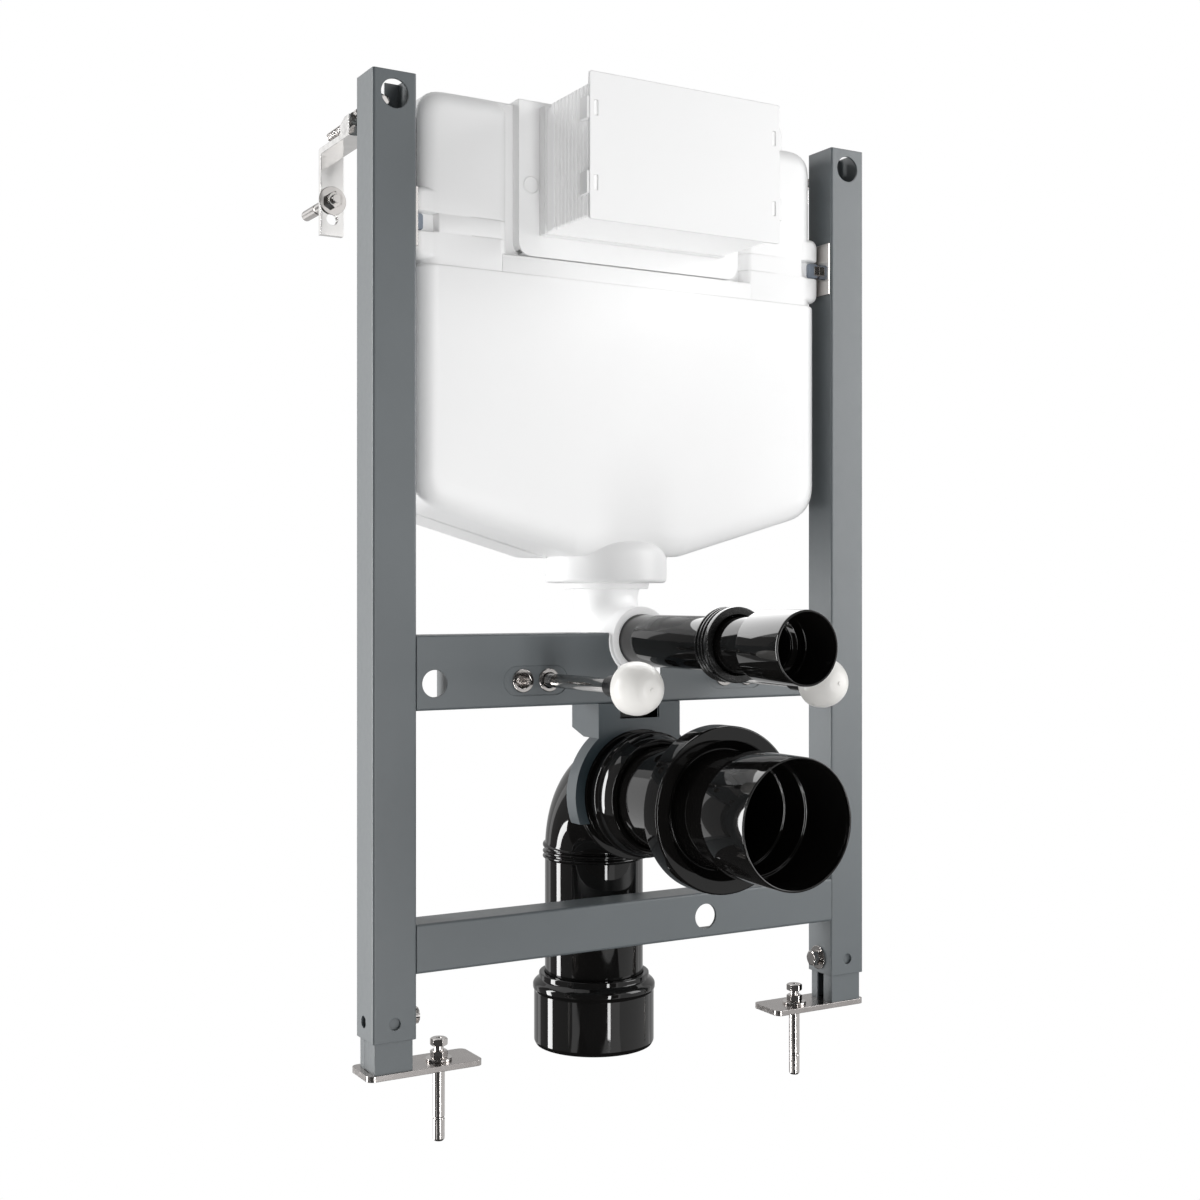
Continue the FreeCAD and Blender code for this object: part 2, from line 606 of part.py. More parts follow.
def make_foot_plate(side):
    """The floor plate, turned in towards the middle of the frame."""
    name = "foot_plate_" + SIDE_NAMES[side]
    outer = size.frame_width / 2 + size.plate_past
    body = new_body(name, side * outer, size.plate_front, 0)
    sketch = new_sketch(body, "XY_Plane")
    draw_box(sketch, 0, 0, -side * size.plate_length, size.plate_depth)
    draw_circle(sketch, -side * (outer - anchor_side), size.anchor_depth - size.plate_front,
                size.anchor_shank / 2 + size.fit_gap)
    pad(body, sketch, size.plate_thick)
    round_edges(body, size.plate_corner, lambda middle, along: (
        abs(along.z) > 0.9 and (near(middle.y, 0) or near(middle.y, size.plate_depth))))


def make_floor_anchor(side):
    """Washer, nut, stud and head above the plate, and the expansion shank below it."""
    plate = size.plate_thick
    washer = size.anchor_washer_thick
    nut_top = plate + washer + size.bolt_head
    stacked_part("floor_anchor_" + SIDE_NAMES[side], side * anchor_side, size.anchor_depth, 0, UPRIGHT, [
        cone_bar(-size.anchor_reach, size.anchor_tip, size.anchor_shank - 2 * size.anchor_tip, size.anchor_shank),
        round_bar(-size.anchor_reach + size.anchor_tip, size.anchor_reach - size.anchor_tip + plate,
                  size.anchor_shank),
        round_bar(plate, washer, size.lock_washer),
        hex_bar(plate + washer, size.bolt_head, size.bolt_flats),
        round_bar(nut_top, size.anchor_neck, size.lock_bolt),
        hex_bar(nut_top + size.anchor_neck, size.bolt_head, size.bolt_flats),
    ])


def make_lock_bolt(side):
    """Hexagon bolt and washer on the inner face of the post, through the slot of the foot."""
    washer = size.washer_thick
    stand_off = size.lock_neck
    inside = size.post_wall + size.slide_gap + size.foot_wall + size.fit_gap
    rotation = Rotation(Vector(0, 1, 0), 90 * side)
    stacked_part("lock_bolt_" + SIDE_NAMES[side], side * post_inner, size.lock_depth, size.lock_height, rotation, [
        hex_bar(-washer - stand_off - size.bolt_head, size.bolt_head, size.bolt_flats),
        round_bar(-washer - stand_off, washer + stand_off + inside, size.lock_bolt),
        round_bar(-washer, washer, size.lock_washer),
        hex_bar(inside, size.bolt_head, size.bolt_flats),
    ])


def draw_channel(sketch, height, depth, wall):
    """A channel section open to the back: first axis front to back, second up."""
    draw_loop(sketch, [
        (0, 0), (depth, 0), (depth, wall), (wall, wall), (wall, height - wall), (depth, height - wall),
        (depth, height), (0, height),
    ])


def make_crossbar_upper():
    """The pressed bar that carries the pan studs, notched for the flush bend."""
    body = new_body("crossbar_upper", 0, 0, size.bar_bottom)
    profile = new_sketch(body, "YZ_Plane")
    draw_channel(profile, size.bar_height, size.bar_depth, size.bar_wall)
    pad(body, profile, 2 * post_inner, both_ways=True)
    round_edges(body, size.bar_corner, lambda middle, along: (
        abs(along.x) > 0.9 and near(middle.y, 0)))
    stud = stud_height - size.bar_bottom
    recess = new_sketch(body, "XZ_Plane")
    holes = new_sketch(body, "XZ_Plane")
    middle = (size.stud_side + size.insert_side) / 2
    reach = (size.recess_width - size.recess_height) / 2
    for side in (LEFT, RIGHT):
        draw_slot(recess, side * middle, stud, reach, size.recess_height / 2)
        draw_circle(holes, side * size.stud_side, stud, size.insert_body / 2 + size.fit_gap)
        draw_circle(holes, side * size.insert_side, stud, size.insert_body / 2 + size.fit_gap)
        draw_circle(holes, side * bar_hole_side, stud, size.bar_hole / 2)
    pocket(body, recess, size.recess_deep)
    pocket(body, holes, size.bar_wall + FREE)
    ring = size.bend_socket / 2 + size.notch_gap
    notch = new_sketch(body, "XZ_Plane")
    draw_circle(notch, 0, flush_height - size.bar_bottom, ring)
    pocket(body, notch, size.bar_depth + FREE)
    throat = new_sketch(body, "XZ_Plane")
    draw_box(throat, -size.notch_half, notch_low - size.bar_bottom, size.notch_half,
             size.bar_height - size.bar_wall)
    pocket(body, throat, size.bar_wall + FREE)


def make_crossbar_lower():
    """The plain lower bar, open to the back, with one round hole to the right of the waste."""
    body = new_body("crossbar_lower", 0, 0, size.low_bottom)
    profile = new_sketch(body, "YZ_Plane")
    draw_channel(profile, size.low_height, size.bar_depth, size.bar_wall)
    pad(body, profile, 2 * post_inner, both_ways=True)
    round_edges(body, size.bar_corner, lambda middle, along: (
        abs(along.x) > 0.9 and near(middle.y, 0)))
    hole = new_sketch(body, "XZ_Plane")
    draw_circle(hole, size.low_hole_side, size.low_hole_rise, size.bar_hole / 2)
    pocket(body, hole, size.bar_wall + FREE)


def make_stud_backing(side):
    """The hat-shaped stiffener welded behind each pair of inserts."""
    wall = size.sheet_wall
    half = size.backing_half
    deep = size.backing_depth
    body = new_body("stud_backing_" + SIDE_NAMES[side], side * size.backing_middle, size.bar_wall,
                    stud_height - size.backing_height / 2)
    profile = new_sketch(body, "XY_Plane")
    draw_loop(profile, [
        (-half, 0), (-half, deep), (half, deep), (half, 0), (half - wall, 0), (half - wall, deep - wall),
        (wall - half, deep - wall), (wall - half, 0),
    ])
    pad(body, profile, size.backing_height)
    holes = new_sketch(body, "XZ_Plane", -deep + wall + FREE)
    for place in (size.stud_side, size.insert_side):
        draw_circle(holes, side * (place - size.backing_middle), size.backing_height / 2,
                    size.insert_body / 2 + size.fit_gap)
    pocket(body, holes, wall + 2 * FREE)


# Pan fixings.

def make_inserts(side):
    """The rimmed threaded inserts of one side, as two separate barrels in one sub-part."""
    rim_front = size.recess_deep - size.insert_rim_thick
    tail = size.recess_deep + size.insert_length
    barrels = []
    for place, bore in ((size.stud_side, size.stud_size + 2 * size.fit_gap), (size.insert_side, size.thread_size)):
        barrel = doc.addObject("Part::MultiFuse", "barrel")
        barrel.Shapes = [
            round_bar(-size.recess_deep, size.insert_rim_thick, size.insert_rim),
            round_bar(-tail, tail - rim_front, size.insert_body),
        ]
        cut = doc.addObject("Part::Cut", "bored")
        cut.Base = barrel
        cut.Tool = round_bar(-tail - FREE, tail + 2 * FREE + size.insert_rim_thick, bore)
        cut.Placement = Placement(Vector((side * place).value, 0, 0), Rotation())
        cut.setExpression("Placement.Base.x", (side * place).text)
        barrels.append(cut)
    pair = doc.addObject("Part::Compound", "stud_inserts_" + SIDE_NAMES[side])
    pair.Label = "stud_inserts_" + SIDE_NAMES[side]
    pair.Links = barrels
    bind_place(pair, 0, 0, stud_height, FACES_FRONT)
    sub_parts.append(pair)


def make_pan_stud(side):
    """The smooth stud that carries the pan, from inside the crossbar to inside its cap."""
    tail = size.recess_deep + size.insert_length
    body = new_body("pan_stud_" + SIDE_NAMES[side], side * size.stud_side, tail, stud_height)
    shank = new_sketch(body, "XZ_Plane")
    draw_circle(shank, 0, 0, size.stud_size / 2)
    pad(body, shank, tail + size.stud_reach - size.cap_length / 2)


def make_stud_sleeve(side):
    """The dark sleeve between the stud and its cap."""
    inner = size.stud_size / 2 + size.fit_gap
    outer = size.cap_collar / 2
    rear = size.stud_reach - size.cap_length
    turned_part("stud_sleeve_" + SIDE_NAMES[side], side * size.stud_side, 0, stud_height,
                "YZ_Plane", "H_Axis", [
                    (-rear, inner), (size.collar_length - rear, inner), (size.collar_length - rear, outer),
                    (-rear, outer),
                ])


def make_stud_cap(side):
    """The white protective cap: a short rim, a cone and a blunt nose, bored for the stud."""
    rim = size.cap_size / 2
    nose = size.stud_reach
    rear = nose - size.cap_length
    bore = size.stud_size / 2 + size.fit_gap
    body = turned_part("stud_cap_" + SIDE_NAMES[side], side * size.stud_side, 0, stud_height,
                       "YZ_Plane", "H_Axis", [
                           (-nose, 0), (-nose, rim * 0.38), (-rear - size.cap_length * 0.35, rim),
                           (-rear, rim * 0.97), (-rear, bore), (-rear - size.cap_length / 2, bore),
                           (-rear - size.cap_length / 2, 0),
                       ])
    nose_edge = rim.value * 0.38
    doc.recompute()
    round_edges(body, size.cap_round, lambda middle, along: (
        near(middle.y, -nose) and abs((middle.x ** 2 + middle.z ** 2) ** 0.5 - nose_edge) < 0.1
        or near(middle.y, -rear - size.cap_length * 0.35)))


# Flush side.

def make_flush_bend():
    """The white bend from the outlet down and forward to the socket of the flush pipe."""
    turn = size.bend_radius
    outer = size.bend_bore
    inner = outer - size.bend_wall
    centre_z = flush_height + turn
    centre_y = size.outlet_depth - turn
    body = new_body("flush_bend", 0, centre_y, centre_z)
    ring = new_sketch(body, "XY_Plane")
    draw_circle(ring, 0, turn, outer)
    draw_circle(ring, 0, turn, inner)
    elbow = body.newObject("PartDesign::Revolution", "flush_bend_turn")
    elbow.Profile = ring
    elbow.ReferenceAxis = (ring, ["H_Axis"])
    elbow.Angle = 90
    elbow.Reversed = True
    neck = new_sketch(body, "XZ_Plane", -turn)
    top = outlet_height - size.collar_thick - centre_z
    draw_loop(neck, [
        (inner, 0), (outer, 0), (size.neck_radius, top), (inner, top),
    ])
    rise = revolve(body, neck, "V_Axis")
    socket = new_sketch(body, "YZ_Plane")
    mouth = -centre_y - size.bend_socket_front
    seat = pipe_radius + size.fit_gap
    rim = size.bend_socket / 2
    step = mouth + size.bend_socket_deep
    draw_loop(socket, [
        (0, inner - turn), (0, outer - turn), (step + FREE * 4, outer - turn), (step, rim - turn),
        (mouth, rim - turn), (mouth, seat - turn), (step, seat - turn), (step, inner - turn),
    ])
    front = body.newObject("PartDesign::Revolution", "flush_bend_socket")
    front.Profile = socket
    line = new_sketch(body, "YZ_Plane")
    line.addGeometry(Part.LineSegment(Vector(0, -turn.value, 0), Vector(-turn.value, -turn.value, 0)))
    pin_point(line, 0, 1, 0, -turn)
    pin_point(line, 0, 2, -turn, -turn)
    front.ReferenceAxis = (line, ["Edge1"])
    front.Angle = 360
    return rise


def make_flush_collar():
    """The thin union ring under the cistern's outlet block."""
    inner = size.bend_bore - size.bend_wall
    turned_part("flush_collar", 0, size.outlet_depth, outlet_height - size.collar_thick,
                "XZ_Plane", "V_Axis", [
                    (inner, 0), (size.collar_radius, 0), (size.collar_radius, size.collar_thick),
                    (inner, size.collar_thick),
                ])


def make_flush_pipe():
    """The black flush pipe, from the socket of the bend to inside the connector."""
    inner = pipe_radius - size.flush_wall
    rear = size.bend_socket_deep - size.bend_socket_front
    front = size.flush_step + size.flush_pipe_in
    turned_part("flush_pipe", 0, 0, flush_height, "YZ_Plane", "H_Axis", [
        (-front, inner), (-front, pipe_radius), (rear, pipe_radius), (rear, inner),
    ])


def make_flush_seal():
    """The ribbed rubber seal: fine ribs behind, a smooth lip and a dished front."""
    outer = size.seal_size / 2
    bore = pipe_radius + size.fit_gap
    front = size.seal_front
    rear = front - size.seal_length
    root = outer - size.rib_proud
    body = turned_part("flush_seal", 0, 0, flush_height, "YZ_Plane", "H_Axis", [
        (-front, outer), (-front, outer - size.seal_lip), (-front + size.seal_lip, bore), (-rear, bore),
        (-rear, root), (-front + size.seal_lip, root), (-front + size.seal_lip, outer),
    ])
    pitch = (size.seal_length - size.seal_lip) / size.rib_count
    rib = new_sketch(body, "YZ_Plane")
    draw_loop(rib, [
        (-rear, root - FREE), (-rear, root), (-rear - pitch * 0.3, outer), (-rear - pitch * 0.6, outer),
        (-rear - pitch * 0.9, root), (-rear - pitch * 0.9, root - FREE),
    ])
    ridge = revolve(body, rib, "H_Axis")
    doc.recompute()
    row = body.newObject("PartDesign::LinearPattern", "flush_seal_ribs")
    row.Originals = [ridge]
    row.Direction = (rib, ["H_Axis"])
    row.Reversed = True
    row.setExpression("Length", (pitch * (size.rib_count - 1)).text)
    row.setExpression("Occurrences", size.rib_count.text)
    body.Tip = row


def make_flush_connector():
    """The stepped mouth that takes the pan's flush inlet."""
    mouth = size.flush_mouth / 2
    rear = mouth - FREE
    wall = size.flush_wall
    bore = pipe_radius + size.fit_gap
    front = size.flush_front
    step = size.flush_step
    seat = step + size.flush_pipe_in
    inner = mouth - wall
    turned_part("flush_connector", 0, 0, flush_height, "YZ_Plane", "H_Axis", [
        (-front, inner), (-front, mouth), (-step, rear), (-step, bore), (-seat, bore),
        (-seat, bore - wall), (-seat - wall, bore - wall), (-seat - wall, inner - FREE),
        (-seat - size.mouth_ledge, inner - FREE), (-seat - size.mouth_ledge, inner),
    ])


# Waste side.

def make_waste_bend():
    """The black bend: front socket with its locating tongue, three stop ribs and straight tail."""
    turn = size.waste_turn
    outer = waste_radius
    inner = outer - size.waste_wall
    centre_y = size.waste_depth - turn
    centre_z = waste_height - turn
    body = new_body("waste_bend", 0, centre_y, centre_z)
    ring = new_sketch(body, "XY_Plane")
    draw_circle(ring, 0, turn, outer)
    draw_circle(ring, 0, turn, inner)
    elbow = body.newObject("PartDesign::Revolution", "waste_bend_turn")
    elbow.Profile = ring
    elbow.ReferenceAxis = (ring, ["H_Axis"])
    elbow.Angle = 90
    tail = new_sketch(body, "XZ_Plane", -turn)
    low = size.tail_end - centre_z
    rib = outer + size.rib_proud
    pitch = size.stop_rib_pitch
    outline = [(inner, low), (outer, low)]
    base = stop_rib_low - centre_z
    for number in range(3):
        start = base + pitch * number
        outline += [(outer, start), (rib, start + pitch * 0.2), (rib, start + pitch * 0.5),
                    (outer, start + pitch * 0.7)]
    outline += [(outer, 0), (inner, 0)]
    draw_loop(tail, outline)
    revolve(body, tail, "V_Axis")
    socket = new_sketch(body, "YZ_Plane")
    start = -centre_y
    rim_front = start - size.waste_rim
    body_front = start - size.waste_socket_front
    rim = size.waste_socket / 2
    barrel = rim - size.waste_wall
    neck = barrel - FREE * 2
    bore = socket_bore
    stop = start + size.cradle_rim
    lug_front = start + size.sheet_wall
    lug_back = lug_front + size.rim_wide
    lug = rim + size.rim_wide
    draw_loop(socket, [
        (0, turn + inner), (0, turn + outer), (stop, turn + barrel), (lug_back, turn + barrel),
        (lug_back, turn + lug), (lug_front, turn + lug), (lug_front, turn + barrel),
        (rim_front + size.rim_wide, turn + barrel),
        (rim_front + size.rim_wide, turn + rim), (rim_front, turn + rim), (rim_front - FREE * 5, turn + barrel),
        (rim_front - FREE * 12, turn + neck), (body_front, turn + neck), (body_front, turn + bore),
        (stop, turn + bore), (stop, turn + inner),
    ])
    line = new_sketch(body, "YZ_Plane")
    line.addGeometry(Part.LineSegment(Vector(0, turn.value, 0), Vector(-turn.value, turn.value, 0)))
    pin_point(line, 0, 1, 0, turn)
    pin_point(line, 0, 2, -turn, turn)
    front = body.newObject("PartDesign::Revolution", "waste_bend_socket")
    front.Profile = socket
    front.ReferenceAxis = (line, ["Edge1"])
    front.Angle = 360
    tongue = new_sketch(body, "XZ_Plane", -stop - size.fit_gap)
    reach = size.window_half + size.tongue_past
    draw_box(tongue, -reach, turn + outer - FREE * 2, reach, turn + size.bar_bottom - waste_height - FREE)
    pad(body, tongue, size.tongue_thick, backwards=True)


def make_waste_adapter():
    """The black socket on the tail of the bend: lip, seal bead and barrel."""
    outer = size.waste_socket / 2
    bead = outer + FREE
    lip = outer - FREE * 5
    bore = socket_bore
    wall = size.waste_wall
    low = -size.waste_low
    top = size.adapter_top
    rest = size.tail_end - size.fit_gap
    turned_part("waste_adapter", 0, size.waste_depth, 0, "XZ_Plane", "V_Axis", [
        (outer - wall, low), (outer - FREE * 2, low), (outer, low + FREE * 3), (outer, top - size.bead_drop),
        (bead, top - size.bead_drop + FREE * 2), (bead, top - size.bead_drop + FREE * 6),
        (lip, top - FREE * 5), (lip, top), (bore, top), (bore, rest), (waste_radius - wall, rest),
        (waste_radius - wall, rest - wall), (outer - wall, rest - wall - FREE * 4),
    ])


def make_waste_connector():
    """The pan connector: spigot, big flange with a dished face, and the stepped mouth."""
    mouth = size.waste_mouth / 2
    wall = size.waste_wall
    spigot = waste_radius
    inner = spigot - wall
    rear = -size.waste_socket_front + size.spigot_deep
    flange = size.flange_size / 2
    flange_rear = size.flange_front - size.flange_thick
    hub = mouth - wall
    dish = size.flange_front - size.dish_deep
    step = size.waste_step
    front = size.waste_front
    turned_part("waste_connector", 0, 0, waste_height, "YZ_Plane", "H_Axis", [
        (rear, inner), (rear, spigot), (-flange_rear, spigot), (-flange_rear, flange),
        (-size.flange_front, flange), (-size.flange_front, flange - size.dish_lip), (-dish, hub),
        (-step, hub), (-step, mouth), (-front, mouth), (-front, mouth - wall), (-step - wall, mouth - wall),
        (-step - wall, hub - wall), (-dish - wall, hub - wall), (-dish - wall, inner),
    ])


def make_waste_bracket():
    """The painted saddle under the upper bar: front plate, side flanges and the ring round the socket."""
    wall = size.sheet_wall
    half = size.cradle_half
    top = size.bar_bottom
    ring = size.cradle_ring
    axis = waste_height
    body = new_body("waste_bracket", 0, 0, axis)
    head = top - axis
    plate = new_sketch(body, "XZ_Plane")
    draw_circle(plate, 0, 0, ring)
    pad(body, plate, wall, backwards=True)
    tab = new_sketch(body, "XZ_Plane")
    draw_box(tab, -half, 0, half, head)
    pad(body, tab, wall, backwards=True)
    rim = new_sketch(body, "XZ_Plane")
    draw_circle(rim, 0, 0, ring)
    draw_circle(rim, 0, 0, ring - wall)
    pad(body, rim, size.cradle_rim, backwards=True)
    for side in (LEFT, RIGHT):
        flange = new_sketch(body, "YZ_Plane", side * half)
        low = head - size.cradle_drop
        deep = size.cradle_deep
        draw_loop(flange, [
            (0, head), (deep, head), (deep, low + size.cradle_cut), (deep - 3 * size.cradle_cut, low), (0, low),
        ])
        pad(body, flange, wall, backwards=(side == RIGHT))
    bore = new_sketch(body, "XZ_Plane", FREE)
    draw_circle(bore, 0, 0, size.waste_socket / 2 + 2 * size.fit_gap)
    pocket(body, bore, size.cradle_rim + 2 * FREE)
    below = new_sketch(body, "XZ_Plane", FREE)
    floor = cradle_ends - axis
    draw_box(below, -ring - FREE, -ring - FREE, ring + FREE, floor)
    pocket(body, below, size.cradle_rim + 2 * FREE)
    window = new_sketch(body, "XZ_Plane", FREE)
    draw_box(window, -size.window_half, head - size.window_drop, size.window_half, head + FREE)
    pocket(body, window, wall + 2 * FREE)


# Cistern and its access opening.

def make_cistern():
    """The slim tank: funnelled floor, proud lower front, two shoulders, fixing lugs and outlet block."""
    half = cistern_half
    front = size.cistern_front
    back = size.cistern_back
    body = new_body("cistern", 0, 0, 0)
    outline = new_sketch(body, "XZ_Plane", -front)
    draw_loop(outline, [
        (-half, cistern_ledge), (-half, cistern_side_low), (-size.cistern_flat, cistern_floor),
        (size.cistern_flat, cistern_floor), (half, cistern_side_low), (half, cistern_ledge),
    ])
    pad(body, outline, back - front, backwards=True)
    round_edges(body, size.cistern_turn, lambda middle, along: (
        abs(along.y) > 0.9 and middle.z < cistern_ledge.value - 1))
    round_edges(body, size.cistern_edge, lambda middle, along: (
        near(middle.y, front) and middle.z < cistern_ledge.value - 1))
    upper = new_sketch(body, "XZ_Plane", -size.shoulder_front)
    draw_box(upper, -shoulder_half, cistern_ledge, shoulder_half, cistern_top)
    pad(body, upper, back - size.shoulder_front, backwards=True)
    round_edges(body, size.shoulder_turn, lambda middle, along: (
        abs(along.y) > 0.9 and near(middle.z, cistern_top)))
    recess = new_sketch(body, "XZ_Plane", -size.shoulder_front + FREE)
    inner = size.shoulder_inner
    draw_box(recess, -inner, cistern_ledge + size.sill_up, inner, cistern_top + FREE)
    pocket(body, recess, size.recess_back - size.shoulder_front + FREE)
    for side in (LEFT, RIGHT):
        lug = new_sketch(body, "YZ_Plane", side * lug_half)
        near_y = size.shoulder_front
        notch_low = notch_height - size.notch_size / 2
        notch_high = notch_height + size.notch_size / 2
        draw_loop(lug, [
            (near_y, lug_low), (near_y + size.lug_depth, lug_low),
            (near_y + size.lug_depth, lug_high), (near_y, lug_high),
        ])
        pad(body, lug, lug_half - shoulder_half + size.shoulder_edge, backwards=(side == RIGHT))
        notch = new_sketch(body, "YZ_Plane", side * (lug_half + FREE))
        draw_box(notch, near_y - FREE, notch_low, near_y + size.notch_size + FREE * 4, notch_high)
        pocket(body, notch, lug_half - notch_inner + FREE, backwards=(side == LEFT))
    outlet = new_sketch(body, "XY_Plane", outlet_height)
    draw_circle(outlet, 0, size.outlet_depth, size.outlet_radius)
    pad(body, outlet, size.outlet_rise)
    bore = new_sketch(body, "XY_Plane", outlet_height)
    draw_circle(bore, 0, size.outlet_depth, size.bend_bore - size.bend_wall)
    pocket(body, bore, size.outlet_bore_deep, backwards=True)


def make_access_panel():
    """The tray that closes the recess, with a raised collar round the access opening."""
    front = size.panel_front
    wall = size.panel_wall
    half = size.panel_half
    body = new_body("access_panel", 0, 0, 0)
    tray = new_sketch(body, "XZ_Plane", -size.recess_back)
    draw_box(tray, -half, panel_low, half, panel_high)
    pad(body, tray, size.recess_back - front)
    round_edges(body, size.panel_corner, lambda middle, along: (
        abs(along.y) > 0.9 and near(middle.z, panel_low)))
    hollow = new_sketch(body, "XZ_Plane", -size.recess_back)
    draw_box(hollow, wall - half, panel_low + wall, half - wall, panel_high - wall)
    pocket(body, hollow, size.recess_back - front - wall, backwards=True)
    collar = new_sketch(body, "XZ_Plane", -front)
    side = size.tunnel_half + wall
    low = tunnel_low - wall
    high = tunnel_high + wall
    draw_box(collar, -side, low, side, high)
    pad(body, collar, front - size.collar_front)
    opening = new_sketch(body, "XZ_Plane", -size.collar_front + FREE)
    draw_box(opening, -size.tunnel_half + wall, tunnel_low + wall, size.tunnel_half - wall,
             tunnel_high - wall)
    pocket(body, opening, size.recess_back)
    ring = new_sketch(body, "XZ_Plane", -front)
    for side in (LEFT, RIGHT):
        draw_circle(ring, side * size.knock_side, knock_height, size.knock_radius)
        draw_circle(ring, side * size.knock_side, knock_height, size.knock_radius - FREE)
    pad(body, ring, FREE / 2)


def make_access_tunnel():
    """The square sleeve from the panel to the cover, ringed with ridges that are cut to length."""
    wall = size.panel_wall
    half = size.tunnel_half
    low = tunnel_low
    high = tunnel_high
    rear = size.collar_front
    length = rear + size.cover_front - wall
    body = new_body("access_tunnel", 0, rear, 0)
    sleeve = new_sketch(body, "XZ_Plane")
    draw_box(sleeve, -half, low, half, high)
    draw_box(sleeve, wall - half, low + wall, half - wall, high - wall)
    pad(body, sleeve, length)
    proud = size.ridge_proud
    ridge = new_sketch(body, "XZ_Plane", length - size.ridge_wide)
    draw_box(ridge, -half - proud, low - proud, half + proud, high + proud)
    draw_box(ridge, wall - half, low + wall, half - wall, high - wall)
    ring = pad(body, ridge, size.ridge_wide)
    doc.recompute()
    row = body.newObject("PartDesign::LinearPattern", "access_tunnel_ridges")
    row.Originals = [ring]
    row.Direction = (ridge, ["N_Axis"])
    row.Reversed = True
    row.setExpression("Length", (size.ridge_pitch * (size.ridge_count - 1)).text)
    row.setExpression("Occurrences", size.ridge_count.text)
    body.Tip = row


def make_access_cover():
    """The flat cover on the tunnel, with four slots and the clips behind them."""
    wall = size.panel_wall
    half = size.tunnel_half + size.cover_past
    body = new_body("access_cover", 0, -size.cover_front, 0)
    plate = new_sketch(body, "XZ_Plane")
    draw_box(plate, -half, cover_low, half, cover_high)
    pad(body, plate, wall, backwards=True)
    round_edges(body, size.cover_corner, lambda middle, along: abs(along.y) > 0.9)
    slots = new_sketch(body, "XZ_Plane")
    clips = new_sketch(body, "XZ_Plane", -wall / 4)
    clip_in = size.tunnel_half + size.ridge_proud + size.fit_gap
    for side in (LEFT, RIGHT):
        for height in (clip_low, clip_high):
            middle = side * (half - size.clip_slot_in)
            draw_box(slots, middle - size.clip_slot / 2, height - size.clip_slot_tall / 2,
                     middle + size.clip_slot / 2, height + size.clip_slot_tall / 2)
            draw_box(clips, side * clip_in, height - size.clip_tall / 2,
                     side * (half + size.clip_proud), height + size.clip_tall / 2)
    pocket(body, slots, wall + FREE)
    pad(body, clips, size.clip_deep, backwards=True)


def make_cistern_fixing(side):
    """The plate on the inner face of the post and the hexagon bolt that holds the cistern's lug."""
    wall = size.sheet_wall
    name = "cistern_fixing_" + SIDE_NAMES[side]
    body = new_body(name, side * post_inner, 0, notch_height)
    plate = new_sketch(body, "YZ_Plane")
    draw_box(plate, size.fixing_front, -size.fixing_half, size.fixing_back, size.fixing_half)
    pad(body, plate, wall, backwards=(side == RIGHT))
    radius = size.bolt_flats * (HEX_CORNER / 2)
    half_flats = size.bolt_flats / 2
    head = new_sketch(body, "YZ_Plane", -side * wall)
    middle = size.fixing_bolt
    draw_loop(head, [
        (middle, radius), (middle - half_flats, radius / 2), (middle - half_flats, -radius / 2),
        (middle, -radius), (middle + half_flats, -radius / 2), (middle + half_flats, radius / 2),
    ])
    pad(body, head, size.bolt_head, backwards=(side == RIGHT))


# Wall brackets.

def make_wall_rod(side):
    """The threaded rod from inside the post to the bracket, with its nuts."""
    inside = size.post_depth - size.post_wall
    nut = size.nut_thick
    tab = size.bracket_front
    tab_back = tab + size.bracket_wall
    head = inside - nut
    pieces = [
        round_bar(-size.rod_end, size.rod_end - head + size.rod_past, size.rod_size),
        hex_bar(-inside, nut, size.nut_flats),
        hex_bar(-size.post_depth - nut, nut, size.nut_flats),
        hex_bar(-tab, nut, size.nut_flats),
        hex_bar(-tab_back - nut, nut, size.nut_flats),
    ]
    stacked_part("wall_rod_" + SIDE_NAMES[side], side * post_middle, 0, rod_height, FACES_FRONT, pieces)


def make_wall_bracket(side):
    """The bent bracket: leg on the wall, arm under the rod, slotted tab, and an ear on its outer side."""
    wall = size.bracket_wall
    half = size.bracket_width / 2
    arm = -size.bracket_drop
    back = size.wall_depth
    front = size.bracket_front
    body = new_body("wall_bracket_" + SIDE_NAMES[side], side * post_middle, 0, rod_height)
    strip = new_sketch(body, "YZ_Plane", -half)
    low = arm - size.bracket_leg
    up = size.tab_up
    draw_loop(strip, [
        (back, low), (back, arm), (front + wall, arm), (front + wall, up), (front, up), (front, arm - wall),
        (back - wall, arm - wall), (back - wall, low),
    ])
    pad(body, strip, size.bracket_width)
    round_edges(body, size.bracket_bend, lambda middle, along: (
        abs(along.x) > 0.9 and near(middle.y, back) and near(middle.z, arm)))
    ear = new_sketch(body, "YZ_Plane", side * half)
    top_end = front + size.ear_long
    draw_loop(ear, [
        (front, arm - wall), (front, up), (top_end, up), (top_end + size.ear_slope, up - size.ear_step),
        (top_end + size.ear_slope, arm - wall),
    ])
    pad(body, ear, size.sheet_wall, backwards=(side == RIGHT))
    open_slot = new_sketch(body, "XZ_Plane", -front + FREE)
    draw_circle(open_slot, 0, 0, size.rod_size / 2 + size.fit_gap)
    pocket(body, open_slot, wall + 2 * FREE)
    fixing = new_sketch(body, "XZ_Plane", -back + wall + FREE)
    draw_circle(fixing, 0, -size.wall_anchor_drop, size.anchor_shank / 2 + size.fit_gap)
    draw_circle(fixing, 0, -size.wall_anchor_drop - size.spare_hole_drop, size.anchor_shank / 2 + size.fit_gap)
    pocket(body, fixing, wall + 2 * FREE)


